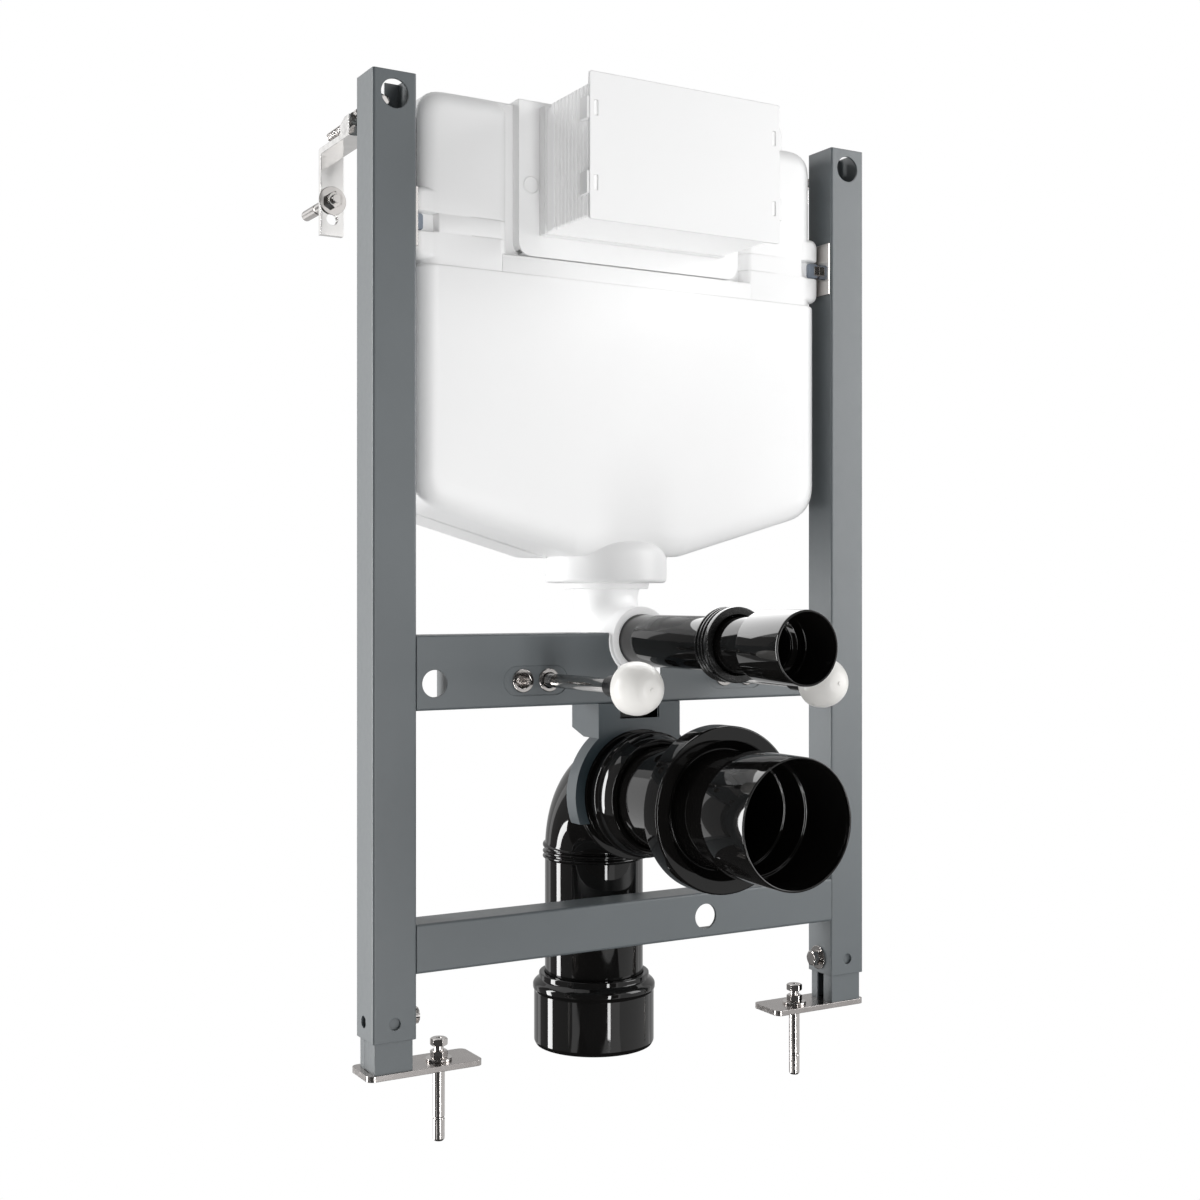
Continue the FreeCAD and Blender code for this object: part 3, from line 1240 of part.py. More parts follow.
def make_wall_anchor(side):
    """Washer and head on the bracket, and the expansion shank in the wall."""
    face = size.wall_depth - size.bracket_wall
    stacked_part("wall_anchor_" + SIDE_NAMES[side], side * post_middle, 0, rod_height - size.wall_anchor_drop,
                 FACES_FRONT, [
                     cone_bar(-size.wall_anchor_end, size.anchor_tip, size.anchor_shank - 2 * size.anchor_tip,
                              size.anchor_shank),
                     round_bar(-size.wall_anchor_end + size.anchor_tip,
                               size.wall_anchor_end - size.anchor_tip - face, size.anchor_shank),
                     round_bar(-face, size.washer_thick, size.wall_washer),
                     hex_bar(-face + size.washer_thick, size.bolt_head, size.bolt_flats),
                     round_bar(-face + size.washer_thick + size.bolt_head, size.anchor_neck, size.lock_bolt),
                 ])


for frame_side in (LEFT, RIGHT):
    make_post(frame_side)
    make_foot_tube(frame_side)
    make_foot_plate(frame_side)
    make_floor_anchor(frame_side)
    make_lock_bolt(frame_side)
    make_stud_backing(frame_side)
    make_inserts(frame_side)
    make_pan_stud(frame_side)
    make_stud_sleeve(frame_side)
    make_stud_cap(frame_side)
    make_cistern_fixing(frame_side)
    make_wall_rod(frame_side)
    make_wall_bracket(frame_side)
    make_wall_anchor(frame_side)
make_crossbar_upper()
make_crossbar_lower()
make_waste_bracket()
make_waste_bend()
make_waste_adapter()
make_waste_connector()
make_flush_collar()
make_flush_bend()
make_flush_pipe()
make_flush_seal()
make_flush_connector()
make_cistern()
make_access_panel()
make_access_tunnel()
make_access_cover()

doc.recompute()
for item in doc.Objects:
    if "Invalid" in item.State or "Error" in item.State:
        raise ValueError("%s (%s) failed: %s" % (item.Name, item.Label, item.State))
os.makedirs("parts", exist_ok=True)
for part in sub_parts:
    shape = part.Shape
    if shape.isNull() or not shape.isValid():
        raise ValueError("%s has no valid shape" % part.Label)
    shape.exportStep("parts/%s.step" % part.Label)
    print("%-24s %2d solids %10.1f mm3" % (part.Label, len(shape.Solids), shape.Volume))
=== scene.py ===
"""Wall hung toilet frame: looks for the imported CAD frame, in metres and in the row frame."""

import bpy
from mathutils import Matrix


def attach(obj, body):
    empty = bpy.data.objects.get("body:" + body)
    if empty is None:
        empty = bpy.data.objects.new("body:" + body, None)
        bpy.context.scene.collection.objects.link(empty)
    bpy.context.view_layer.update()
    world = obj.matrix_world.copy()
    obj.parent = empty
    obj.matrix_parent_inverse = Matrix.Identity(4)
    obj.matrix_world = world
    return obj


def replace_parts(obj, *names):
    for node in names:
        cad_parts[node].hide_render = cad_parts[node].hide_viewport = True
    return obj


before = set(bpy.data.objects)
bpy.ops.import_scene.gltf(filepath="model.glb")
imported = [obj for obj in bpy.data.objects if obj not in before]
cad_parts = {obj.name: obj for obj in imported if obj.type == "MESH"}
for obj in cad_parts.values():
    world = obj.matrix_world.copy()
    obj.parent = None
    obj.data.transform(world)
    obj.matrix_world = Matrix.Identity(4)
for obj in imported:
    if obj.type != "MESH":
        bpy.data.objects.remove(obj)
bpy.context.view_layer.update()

import logging
import math
from collections.abc import Sequence
from dataclasses import dataclass
from enum import Enum

import bmesh
import bpy
from mathutils import Matrix, Vector

LOG = logging.getLogger("toilet_frame")
# Sizes are in millimetres in the floor frame; MM and Datum take them to the row frame.
MM = 0.001
TINY = 1e-6
# Smallest corner radius of a moulding.
SHARP = 0.6
# Angles in degrees above which an edge stays sharp, on pipes and on small metal pieces.
PIPE_CREASE = 40.0
METAL_CREASE = 22.0
# Size across the flats of every nut and bolt head.
NUT_FLATS = 13.0
# The cistern's outlet lies this far behind the front of the posts.
FLUSH_DEPTH = 58.6
Point = tuple[float, float]
Colour = tuple[float, float, float]
Spot = tuple[float, float, float]
Quad = tuple[float, float, float, float]


class Side(Enum):
    """Which half of the frame a piece belongs to."""

    LEFT = -1
    RIGHT = 1

    @property
    def word(self) -> str:
        """The side's word in a node name."""
        return self.name.lower()


class Body(Enum):
    """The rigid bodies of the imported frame."""

    FRAME = "frame"
    LEFT_LEG = "left_leg"
    RIGHT_LEG = "right_leg"

    @staticmethod
    def leg(side: Side) -> "Body":
        """The leg body of one side."""
        return Body.LEFT_LEG if side is Side.LEFT else Body.RIGHT_LEG


class Facing(Enum):
    """The way a turned piece's own axis points: the turn about a row axis, in degrees, that takes Z there."""

    FRONT = ("X", 90)
    UP = ("X", 0)
    RIGHT = ("Y", 90)
    LEFT = ("Y", -90)

    def matrix(self) -> Matrix:
        """Rotation that takes a piece's own Z axis to this direction."""
        axis, degrees = self.value
        return Matrix.Rotation(math.radians(degrees), 4, axis)


@dataclass(frozen=True)
class Datum:
    """Where the row's origin lies from the floor, the middle plane and the front of the posts, in mm."""

    across: float = -231.0
    depth: float = 146.6
    height: float = 759.0

    def at(self, x: float, y: float, z: float) -> Vector:
        """A point of the floor frame in the row frame.

        Args:
            x: Millimetres right of the middle plane.
            y: Millimetres behind the front of the posts.
            z: Millimetres above the floor.

        Returns:
            The same point in metres in the row frame.
        """
        return Vector(((x - self.across) * MM, (y - self.depth) * MM, (z - self.height) * MM))


DATUM = Datum()


class NodeBoard:
    """A short hand for building one procedural material."""

    def __init__(self, name: str) -> None:
        """Starts an empty material with its surface shader.

        Args:
            name: Name of the material.
        """
        self.material = bpy.data.materials.new(name)
        self.material.use_nodes = True
        self.tree = self.material.node_tree
        self.shader = self.tree.nodes["Principled BSDF"]
        self.position = self.node("ShaderNodeNewGeometry").outputs["Position"]

    def node(self, kind: str, **settings: object) -> bpy.types.Node:
        """Adds a node.

        Args:
            kind: Blender's name of the node type.
            settings: Attributes to set on it.

        Returns:
            The new node.
        """
        made = self.tree.nodes.new(kind)
        for key, value in settings.items():
            setattr(made, key, value)
        return made

    def link(self, source: bpy.types.NodeSocket, target: bpy.types.NodeSocket) -> None:
        """Joins two sockets."""
        self.tree.links.new(source, target)

    def noise(self, scale: float, detail: float) -> bpy.types.NodeSocket:
        """Adds three-dimensional noise in the row frame.

        Args:
            scale: Cells for each metre.
            detail: Octaves.

        Returns:
            The noise value's socket.
        """
        texture = self.node("ShaderNodeTexNoise")
        texture.inputs["Scale"].default_value = scale
        texture.inputs["Detail"].default_value = detail
        self.link(self.position, texture.inputs["Vector"])
        return texture.outputs["Fac"]

    def ramp(self, source: bpy.types.NodeSocket, low: float, high: float) -> bpy.types.NodeSocket:
        """Maps the middle of a noise's range to another range.

        Args:
            source: Noise socket to read.
            low: Value where the noise is 0.3 or less.
            high: Value where it is 0.7 or more.

        Returns:
            The mapped value's socket.
        """
        spread = self.node("ShaderNodeMapRange")
        spread.inputs["From Min"].default_value = 0.3
        spread.inputs["From Max"].default_value = 0.7
        spread.inputs["To Min"].default_value = low
        spread.inputs["To Max"].default_value = high
        self.link(source, spread.inputs["Value"])
        return spread.outputs["Result"]

    def mix(self, factor: bpy.types.NodeSocket, first: Colour, second: Colour) -> bpy.types.NodeSocket:
        """Blends two colours.

        Args:
            factor: Socket that gives the share of the second colour.
            first: Colour at 0.
            second: Colour at 1.

        Returns:
            The blended colour's socket.
        """
        blend = self.node("ShaderNodeMix", data_type="RGBA")
        shades = {"A": first, "B": second}
        for socket in blend.inputs:
            if socket.type == "RGBA" and socket.name in shades:
                socket.default_value = (*shades[socket.name], 1.0)
        self.link(factor, blend.inputs["Factor"])
        return next(s for s in blend.outputs if s.type == "RGBA")

    def bump(self, height: bpy.types.NodeSocket, strength: float, distance: float, edge: float) -> None:
        """Adds relief to the surface, with edges rounded for the light where asked.

        Args:
            height: Socket that gives the relief.
            strength: Strength of the relief.
            distance: Depth of the relief in metres.
            edge: Radius in metres by which sharp edges are softened, or nought.
        """
        relief = self.node("ShaderNodeBump")
        relief.inputs["Strength"].default_value = strength
        relief.inputs["Distance"].default_value = distance
        self.link(height, relief.inputs["Height"])
        if edge > 0:
            soften = self.node("ShaderNodeBevel", samples=6)
            soften.inputs["Radius"].default_value = edge
            self.link(soften.outputs["Normal"], relief.inputs["Normal"])
        self.link(relief.outputs["Normal"], self.shader.inputs["Normal"])


@dataclass(frozen=True)
class Grade:
    """How one kind of material varies over its surface.

    Attributes:
        cloud: Scale and detail of the noise between its two shades.
        shades: The dark and the light shade, as shares of the colour.
        wear: Scale and detail of the roughness noise.
        spread: How far the roughness goes below and above its value.
        relief: Scale and detail of the surface noise.
        depth: Depth of the relief in metres.
        constants: Inputs of the surface shader that stay the same all over.
        lift: What is added to the light shade.
    """

    cloud: Point
    shades: Point
    wear: Point
    spread: Point
    relief: Point
    depth: float
    constants: tuple[tuple[str, float], ...]
    lift: float = 0.0


PAINTED = Grade((22, 4), (0.94, 1.07), (160, 3), (0.04, 0.05), (1500, 2), 0.00012,
                (("Specular IOR Level", 0.5), ("Coat Weight", 0.9), ("Coat Roughness", 0.42)), 0.002)
PLATED = Grade((60, 4), (0.86, 1.08), (240, 4), (0.05, 0.08), (900, 3), 0.00008, (("Metallic", 1.0),))
POLISHED = Grade((35, 3), (1.0, 1.9), (90, 3), (0.02, 0.03), (40, 2), 0.0002,
                 (("Specular IOR Level", 0.5),))
RUBBERY = Grade((70, 3), (1.0, 1.8), (300, 3), (0.05, 0.1), (1100, 2), 0.0001,
                (("Specular IOR Level", 0.5),))
MOULDED = Grade((9, 3), (0.975, 1.0), (120, 3), (0.05, 0.06), (800, 2), 0.0001,
                (("Specular IOR Level", 0.45),))


@dataclass(frozen=True)
class Look:
    """One finish.

    Attributes:
        name: Name of the material.
        grade: Its kind.
        colour: Its middle colour.
        roughness: Its middle roughness.
        skin: Strength of the relief.
        edge: Radius in metres by which sharp edges are softened for the light, or nought.
        glow: Painted light: emission that makes a pale moulding brighter, standing in for light let through
            it and bounced onto it, though the moulding is no lamp.
    """

    name: str
    grade: Grade
    colour: Colour
    roughness: float
    skin: float
    edge: float = 0.0
    glow: float = 0.0

    def build(self) -> bpy.types.Material:
        """Makes the material."""
        board = NodeBoard(self.name)
        grade = self.grade
        inputs = board.shader.inputs
        # The glow feeds Emission Strength: painted light on the pale mouldings that carry one.
        for name, value in (*grade.constants, ("Emission Strength", self.glow)):
            inputs[name].default_value = value
        dark = tuple(part * grade.shades[0] for part in self.colour)
        light = tuple(min(1.0, part * grade.shades[1] + grade.lift) for part in self.colour)
        board.link(board.mix(board.noise(*grade.cloud), dark, light), inputs["Base Color"])
        low, high = self.roughness - grade.spread[0], self.roughness + grade.spread[1]
        board.link(board.ramp(board.noise(*grade.wear), low, high), inputs["Roughness"])
        board.bump(board.noise(*grade.relief), self.skin, grade.depth, self.edge)
        return board.material


class Finish(Enum):
    """Every finish of the frame, named for the pieces that carry it."""

    FRAME_PAINT = Look("frame_paint_look", PAINTED, (0.096, 0.111, 0.119), 0.45, 0.14, 0.0012)
    BRACKET_PAINT = Look("bracket_paint_look", PAINTED, (0.019, 0.034, 0.043), 0.36, 0.03, 0.0004)
    ZINC = Look("bright_zinc_look", PLATED, (0.72, 0.69, 0.67), 0.08, 0.10, 0.0005)
    # Same plating as the bright zinc, made lighter on the wall brackets alone: a painted reflection that
    # lifts the leg where it faces the shaded side of the cistern.
    BRACKET_ZINC_PAINTED_REFLECTION = Look("bracket_zinc_painted_reflection_look", PLATED, (0.90, 0.885, 0.87), 0.07, 0.10, 0.0005)
    PLATE = Look("rolled_plate_look", PLATED, (0.55, 0.52, 0.505), 0.22, 0.10, 0.0005)
    FIXING = Look("blue_grey_fixing_look", RUBBERY, (0.16, 0.185, 0.225), 0.34, 0.08)
    STUD_STEEL = Look("stud_steel_look", PLATED, (0.60, 0.59, 0.58), 0.11, 0.10, 0.0005)
    BLACK_PIPE = Look("black_pipe_look", POLISHED, (0.0035, 0.0033, 0.0032), 0.035, 0.02)
    SEAL = Look("seal_rubber_look", RUBBERY, (0.006, 0.006, 0.006), 0.22, 0.08)
    SLEEVE = Look("stud_sleeve_plastic_look", RUBBERY, (0.012, 0.012, 0.0125), 0.30, 0.08)
    CAP = Look("stud_cap_plastic_look", MOULDED, (0.87, 0.855, 0.825), 0.33, 0.10, 0.0008)
    # Painted light: the white pipes glow a little so they look brighter, though they are no lamps.
    WHITE_PIPE = Look("white_pipe_look", MOULDED, (0.96, 0.96, 0.96), 0.38, 0.04, 0.0008, 0.10)
    CISTERN = Look("cistern_plastic_look", MOULDED, (0.95, 0.95, 0.95), 0.38, 0.10, 0.0012)
    # Painted light: the access sleeve and the clip faces glow a little so they look brighter, though they are
    # no lamps.
    SLEEVE_WHITE = Look("access_sleeve_look", MOULDED, (0.96, 0.96, 0.96), 0.44, 0.0, 0.0, 0.09)

    def material(self) -> bpy.types.Material:
        """The material of this finish, made once."""
        found = bpy.data.materials.get(self.value.name)
        return found or self.value.build()


def arc(start: Vector, corner: Vector, end: Vector, steps: int) -> list[Vector]:
    """Rounds one corner.

    Args:
        start: Where the arc begins.
        corner: The corner it cuts.
        end: Where it ends.
        steps: Its spans.

    Returns:
        The points of the arc, with both ends.
    """
    points = []
    for step in range(steps + 1):
        share = step / steps
        points.append(start.lerp(corner, share).lerp(corner.lerp(end, share), share))
    return points


def round_corners(outline: Sequence[Point], radius: float, steps: int = 3) -> list[Point]:
    """Rounds the corners of a closed outline.

    Args:
        outline: Corner points in order.
        radius: Largest corner radius; short sides get less.
        steps: Spans of each corner.

    Returns:
        The outline with an arc at each corner.
    """
    rounded: list[Point] = []
    for index, point in enumerate(outline):
        corner = Vector(point)
        back = Vector(outline[index - 1]) - corner
        ahead = Vector(outline[(index + 1) % len(outline)]) - corner
        reach = min(radius, back.length * 0.42, ahead.length * 0.42)
        if reach < TINY:
            rounded.append(tuple(corner))
            continue
        start = corner + back.normalized() * reach
        end = corner + ahead.normalized() * reach
        rounded += [tuple(spot) for spot in arc(start, corner, end, steps)]
    return rounded


def placed(x: float, y: float, z: float, facing: Facing) -> Matrix:
    """The matrix that puts a turned form at a point of the floor frame, facing one way."""
    return Matrix.Translation(DATUM.at(x, y, z)) @ facing.matrix()


def spun(place: Matrix, out: float, angle: float, along: float) -> Vector:
    """A placed point of a turned form: so far out of its axis, at an angle, and so far along it, in mm."""
    return place @ (Vector((out * math.cos(angle), out * math.sin(angle), along)) * MM)


class Shape:
    """Builds the mesh of one piece and gives it its place, body and finish."""

    def __init__(self) -> None:
        """Starts with no vertices."""
        self.mesh = bmesh.new()

    def rings(self, loops: Sequence[Sequence[Vector]], closed: bool) -> None:
        """Skins a row of loops.

        Args:
            loops: Loops with the same number of points.
            closed: Whether the last loop joins the first; otherwise both ends are filled.
        """
        rows = [[self.mesh.verts.new(point) for point in loop] for loop in loops]
        count = len(rows[0])
        spans = len(rows) if closed else len(rows) - 1
        for number in range(spans):
            here = rows[number]
            there = rows[(number + 1) % len(rows)]
            for index in range(count):
                following = (index + 1) % count
                self.mesh.faces.new((here[index], here[following], there[following], there[index]))
        if not closed:
            self.mesh.faces.new(list(reversed(rows[0])))
            self.mesh.faces.new(rows[-1])

    def lathe(self, profile: Sequence[Point], steps: int, place: Matrix) -> None:
        """Turns a closed profile of (along, out) points, in mm, about Z.

        Args:
            profile: Closed profile; points on the axis are allowed.
            steps: Spans round the axis.
            place: Where the turned form goes.
        """
        columns: list[list[bmesh.types.BMVert]] = []
        for along, out in profile:
            if out < TINY:
                columns.append([self.mesh.verts.new(place @ Vector((0, 0, along * MM)))])
                continue
            angles = [2 * math.pi * step / steps for step in range(steps)]
            columns.append([self.mesh.verts.new(spun(place, out, angle, along)) for angle in angles])
        for number, here in enumerate(columns):
            there = columns[(number + 1) % len(columns)]
            if len(here) == len(there) == 1:
                continue
            for step in range(steps):
                following = (step + 1) % steps
                corners = [here[step % len(here)], here[following % len(here)],
                           there[following % len(there)], there[step % len(there)]]
                unique = list(dict.fromkeys(corners))
                if len(unique) > 2:
                    self.mesh.faces.new(unique)

    def piece(self, name: str, finish: Finish, body: Body, crease: float = 32.0) -> bpy.types.Object:
        """Makes the object.

        Args:
            name: Name of the piece.
            finish: Its finish.
            body: The body it rides on.
            crease: Angle in degrees above which an edge stays sharp.

        Returns:
            The new object.
        """
        bmesh.ops.remove_doubles(self.mesh, verts=self.mesh.verts, dist=1e-7)
        bmesh.ops.recalc_face_normals(self.mesh, faces=self.mesh.faces)
        data = bpy.data.meshes.new(name)
        self.mesh.to_mesh(data)
        self.mesh.free()
        data.shade_smooth()
        data.set_sharp_from_angle(angle=math.radians(crease))
        data.materials.append(finish.material())
        made = bpy.data.objects.new(name, data)
        bpy.context.scene.collection.objects.link(made)
        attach(made, body.value)
        LOG.info("piece %s: %d faces", name, len(data.polygons))
        return made


@dataclass
class BentPipe:
    """A pipe with a closed wall profile that follows a straight run, a quarter turn and a second run."""

    centre: Spot
    turn: float
    rising: bool
    profile: Sequence[Point]
    steps: int
    longest: float = 2.5

    def frame_at(self, run: float) -> tuple[Vector, Vector]:
        """Place and outward direction of the bend's plane at a length along the middle line.

        Args:
            run: Millimetres along the middle line; nought at the start of the turn, negative in front.

        Returns:
            The middle point and the direction away from the bend's centre.
        """
        quarter = math.pi / 2 * self.turn
        sign = -1.0 if self.rising else 1.0
        if run <= 0:
            angle = 0.0
            shift = Vector((0, run, 0))
        elif run >= quarter:
            angle = math.pi / 2
            shift = Vector((0, 0, -sign * (run - quarter)))
        else:
            angle = run / self.turn
            shift = Vector((0, 0, 0))
        outward = Vector((0, math.sin(angle), sign * math.cos(angle)))
        return Vector(self.centre) + outward * self.turn + shift, outward

    def build(self, shape: Shape) -> None:
        """Skins the pipe's wall.

        Args:
            shape: Mesh that takes the faces.
        """
        dense: list[Point] = []
        quarter = math.pi / 2 * self.turn
        for index, here in enumerate(self.profile):
            there = self.profile[(index + 1) % len(self.profile)]
            dense.append(here)
            in_turn = max(here[0], there[0]) > 0 and min(here[0], there[0]) < quarter
            parts = int(abs(there[0] - here[0]) / self.longest) if in_turn else 0
            for part in range(1, parts):
                share = part / parts
                run = here[0] + (there[0] - here[0]) * share
                dense.append((run, here[1] + (there[1] - here[1]) * share))
        loops = []
        for run, out in dense:
            middle, outward = self.frame_at(run)
            loop = []
            for step in range(self.steps):
                angle = 2 * math.pi * step / self.steps
                spot = middle + (outward * (out * math.cos(angle)) + Vector((out * math.sin(angle), 0, 0)))
                loop.append(DATUM.at(*spot))
            loops.append(loop)
        shape.rings(loops, closed=True)


@dataclass(frozen=True)
class Edge:
    """One straight side of a box: its start, the radius of its start corner, how far its front rounds in."""

    start: Point
    corner: float
    front: float


def upright(side: Side, inner: float, outer: float, low: float, high: float, corners: Quad,
            fronts: Quad) -> list[Edge]:
    """The sides of an upright rectangle, by its place on one half of the frame.

    Args:
        side: Which half.
        inner: Millimetres from the middle plane to its inner side, negative past that plane.
        outer: Millimetres from the middle plane to its outer side.
        low: Height of its lower side above the floor.
        high: Height of its upper side above the floor.
        corners: Corner radii: upper inner, upper outer, lower outer, lower inner.
        fronts: How far the front rounds in at the top, outer side, bottom and inner side.

    Returns:
        The four edges, anticlockwise as seen from the front.
    """
    spots = ((inner, high), (outer, high), (outer, low), (inner, low))
    order = ((0, 0), (1, 1), (2, 2), (3, 3)) if side is Side.LEFT else ((1, 0), (0, 3), (3, 2), (2, 1))
    edges = []
    for spot, front in order:
        across, height = spots[spot]
        edges.append(Edge((side.value * across, height), corners[spot], fronts[front]))
    return edges


@dataclass
class PressedBox:
    """A moulded box with a convex outline seen from the front, rounded in at front and back."""

    edges: Sequence[Edge]
    near: float
    far: float
    front_depth: float
    back_depth: float
    steps: int
    corner_steps: int

    def loop(self, inset: float, depth: float) -> list[Vector]:
        """One outline of the box.

        Args:
            inset: Share of each side's rounding that the outline is moved in, from 0 to 1.
            depth: Millimetres behind the front of the posts.

        Returns:
            The outline's points in the row frame.
        """
        lines = []
        for index, edge in enumerate(self.edges):
            start = Vector(edge.start)
            along = (Vector(self.edges[(index + 1) % len(self.edges)].start) - start).normalized()
            inward = Vector((-along.y, along.x))
            lines.append((start + inward * (edge.front * inset), along))
        points = []
        for index, edge in enumerate(self.edges):
            first, one = lines[index - 1]
            second, two = lines[index]
            gap = second - first
            cross = one.x * two.y - one.y * two.x
            corner = first + one * ((gap.x * two.y - gap.y * two.x) / cross)
            moved = min(edge.front, self.edges[index - 1].front) * inset
            reach = max(edge.corner - moved, SHARP) * math.tan(one.angle(two) / 2)
            for spot in arc(corner - one * reach, corner, corner + two * reach, self.corner_steps):
                points.append(DATUM.at(spot.x, depth, spot.y))
        return points

    def build(self, shape: Shape) -> None:
        """Skins the box.

        Args:
            shape: Mesh that takes the faces.
        """
        loops = []
        for step in range(self.steps + 1):
            angle = math.pi / 2 * step / self.steps
            depth = self.near + self.front_depth * (1 - math.cos(angle))
            loops.append(self.loop(1 - math.sin(angle), depth))
        for step in range(self.steps + 1):
            angle = math.pi / 2 * (1 - step / self.steps)
            share = (1 - math.sin(angle)) * 0.4
            loops.append(self.loop(share, self.far - self.back_depth * (1 - math.cos(angle))))
        shape.rings(loops, closed=False)


@dataclass
class WastePipes:
    """The black bend, its adapter and the pan connector on one axis."""

    height: float = 217.0
    upright: float = 80.6
    turn: float = 60.0
    radius: float = 45.0
    wall: float = 2.7
    rib: float = 2.1
    rib_heights: Spot = (151.2, 155.8, 160.4)

    def bend(self) -> None:
        """The bend with its stepped front socket, stop ribs and tail, and the tongue above it."""
        start = self.upright - self.turn
        face = -start
        quarter = math.pi / 2 * self.turn
        tail = quarter + self.height - self.turn - 8.0
        bore = self.radius - self.wall
        outer = [
            (face + 16, 52.3), (face + 6, 52.3), (face + 6, 59.0), (face + 2, 59.0), (face + 2, 52.3),
            (face - 12, 52.3), (face - 13.5, 55.0), (face - 16.5, 55.0), (face - 18.5, 53.0),
            (face - 22, 51.6), (face - 26, 50.8), (face - 37.5, 50.3), (face - 38, 49.6),
            (face - 38, 45.3), (face + 16, 45.3), (face + 16, bore), (tail, bore), (tail, self.radius),
        ]
        crest = self.radius + self.rib
        for rise in self.rib_heights:
            run = quarter + self.height - self.turn - rise
            outer += [(run + 1.7, self.radius), (run + 0.9, crest), (run - 0.7, crest),
                      (run - 1.5, self.radius)]
        outer += [(4.0, self.radius), (face + 16 + 1.5, 48.5)]
        shape = Shape()
        centre = (0, start, self.height - self.turn)
        BentPipe(centre, self.turn, False, round_corners(outer, 0.9), 128).build(shape)
        corners = (2.0, 2.0, SHARP, SHARP)
        tongue = upright(Side.RIGHT, -29.0, 29.0, 261.0, 295.5, corners, (0.8, 0.6, 0.6, 0.8))
        PressedBox(tongue, 16.3, 21.3, 0.8, 0.8, 2, 3).build(shape)
        made = shape.piece("waste_bend_skin", Finish.BLACK_PIPE, Body.FRAME, PIPE_CREASE)
        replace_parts(made, "waste_bend")

    def adapter(self) -> None:
        """The socket on the tail: lip, seal bead and barrel."""
        shape = Shape()
        outline = [(-20, 52.3), (-20, 53.4), (-17, 55.0), (29, 55.0), (31, 56.0), (35, 56.0), (37, 54.6),
                   (39.5, 51.4), (40.5, 50.6), (45, 50.4), (45, 45.3), (7.7, 45.3), (7.7, 42.3), (5, 42.3),
                   (1, 51.7)]
        shape.lathe(round_corners(outline, 1.0), 128, placed(0, self.upright, 0, Facing.UP))
        made = shape.piece("waste_adapter_skin", Finish.BLACK_PIPE, Body.FRAME, PIPE_CREASE)
        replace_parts(made, "waste_adapter")

    def connector(self) -> None:
        """The pan connector: spigot, dished flange and stepped mouth."""
        shape = Shape()
        outline = [
            (-6, 42.3), (-6, 45.0), (115, 45.0), (115, 67.2), (116.2, 68.0), (133.8, 68.0), (135, 67.2),
            (135, 56.4), (133, 55.2), (126, 49.6), (126, 48.6), (172, 48.6), (172, 51.3), (228, 51.3),
            (228, 49.4), (174.7, 49.2), (174.7, 46.4), (150, 46.2), (150, 44.0), (127, 43.6),
        ]
        shape.lathe(round_corners(outline, 0.8), 144, placed(0, 0, self.height, Facing.FRONT))
        made = shape.piece("waste_connector_skin", Finish.BLACK_PIPE, Body.FRAME, PIPE_CREASE)
        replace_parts(made, "waste_connector")

    def build(self) -> None:
        """Makes all three."""
        self.bend()
        self.adapter()
        self.connector()


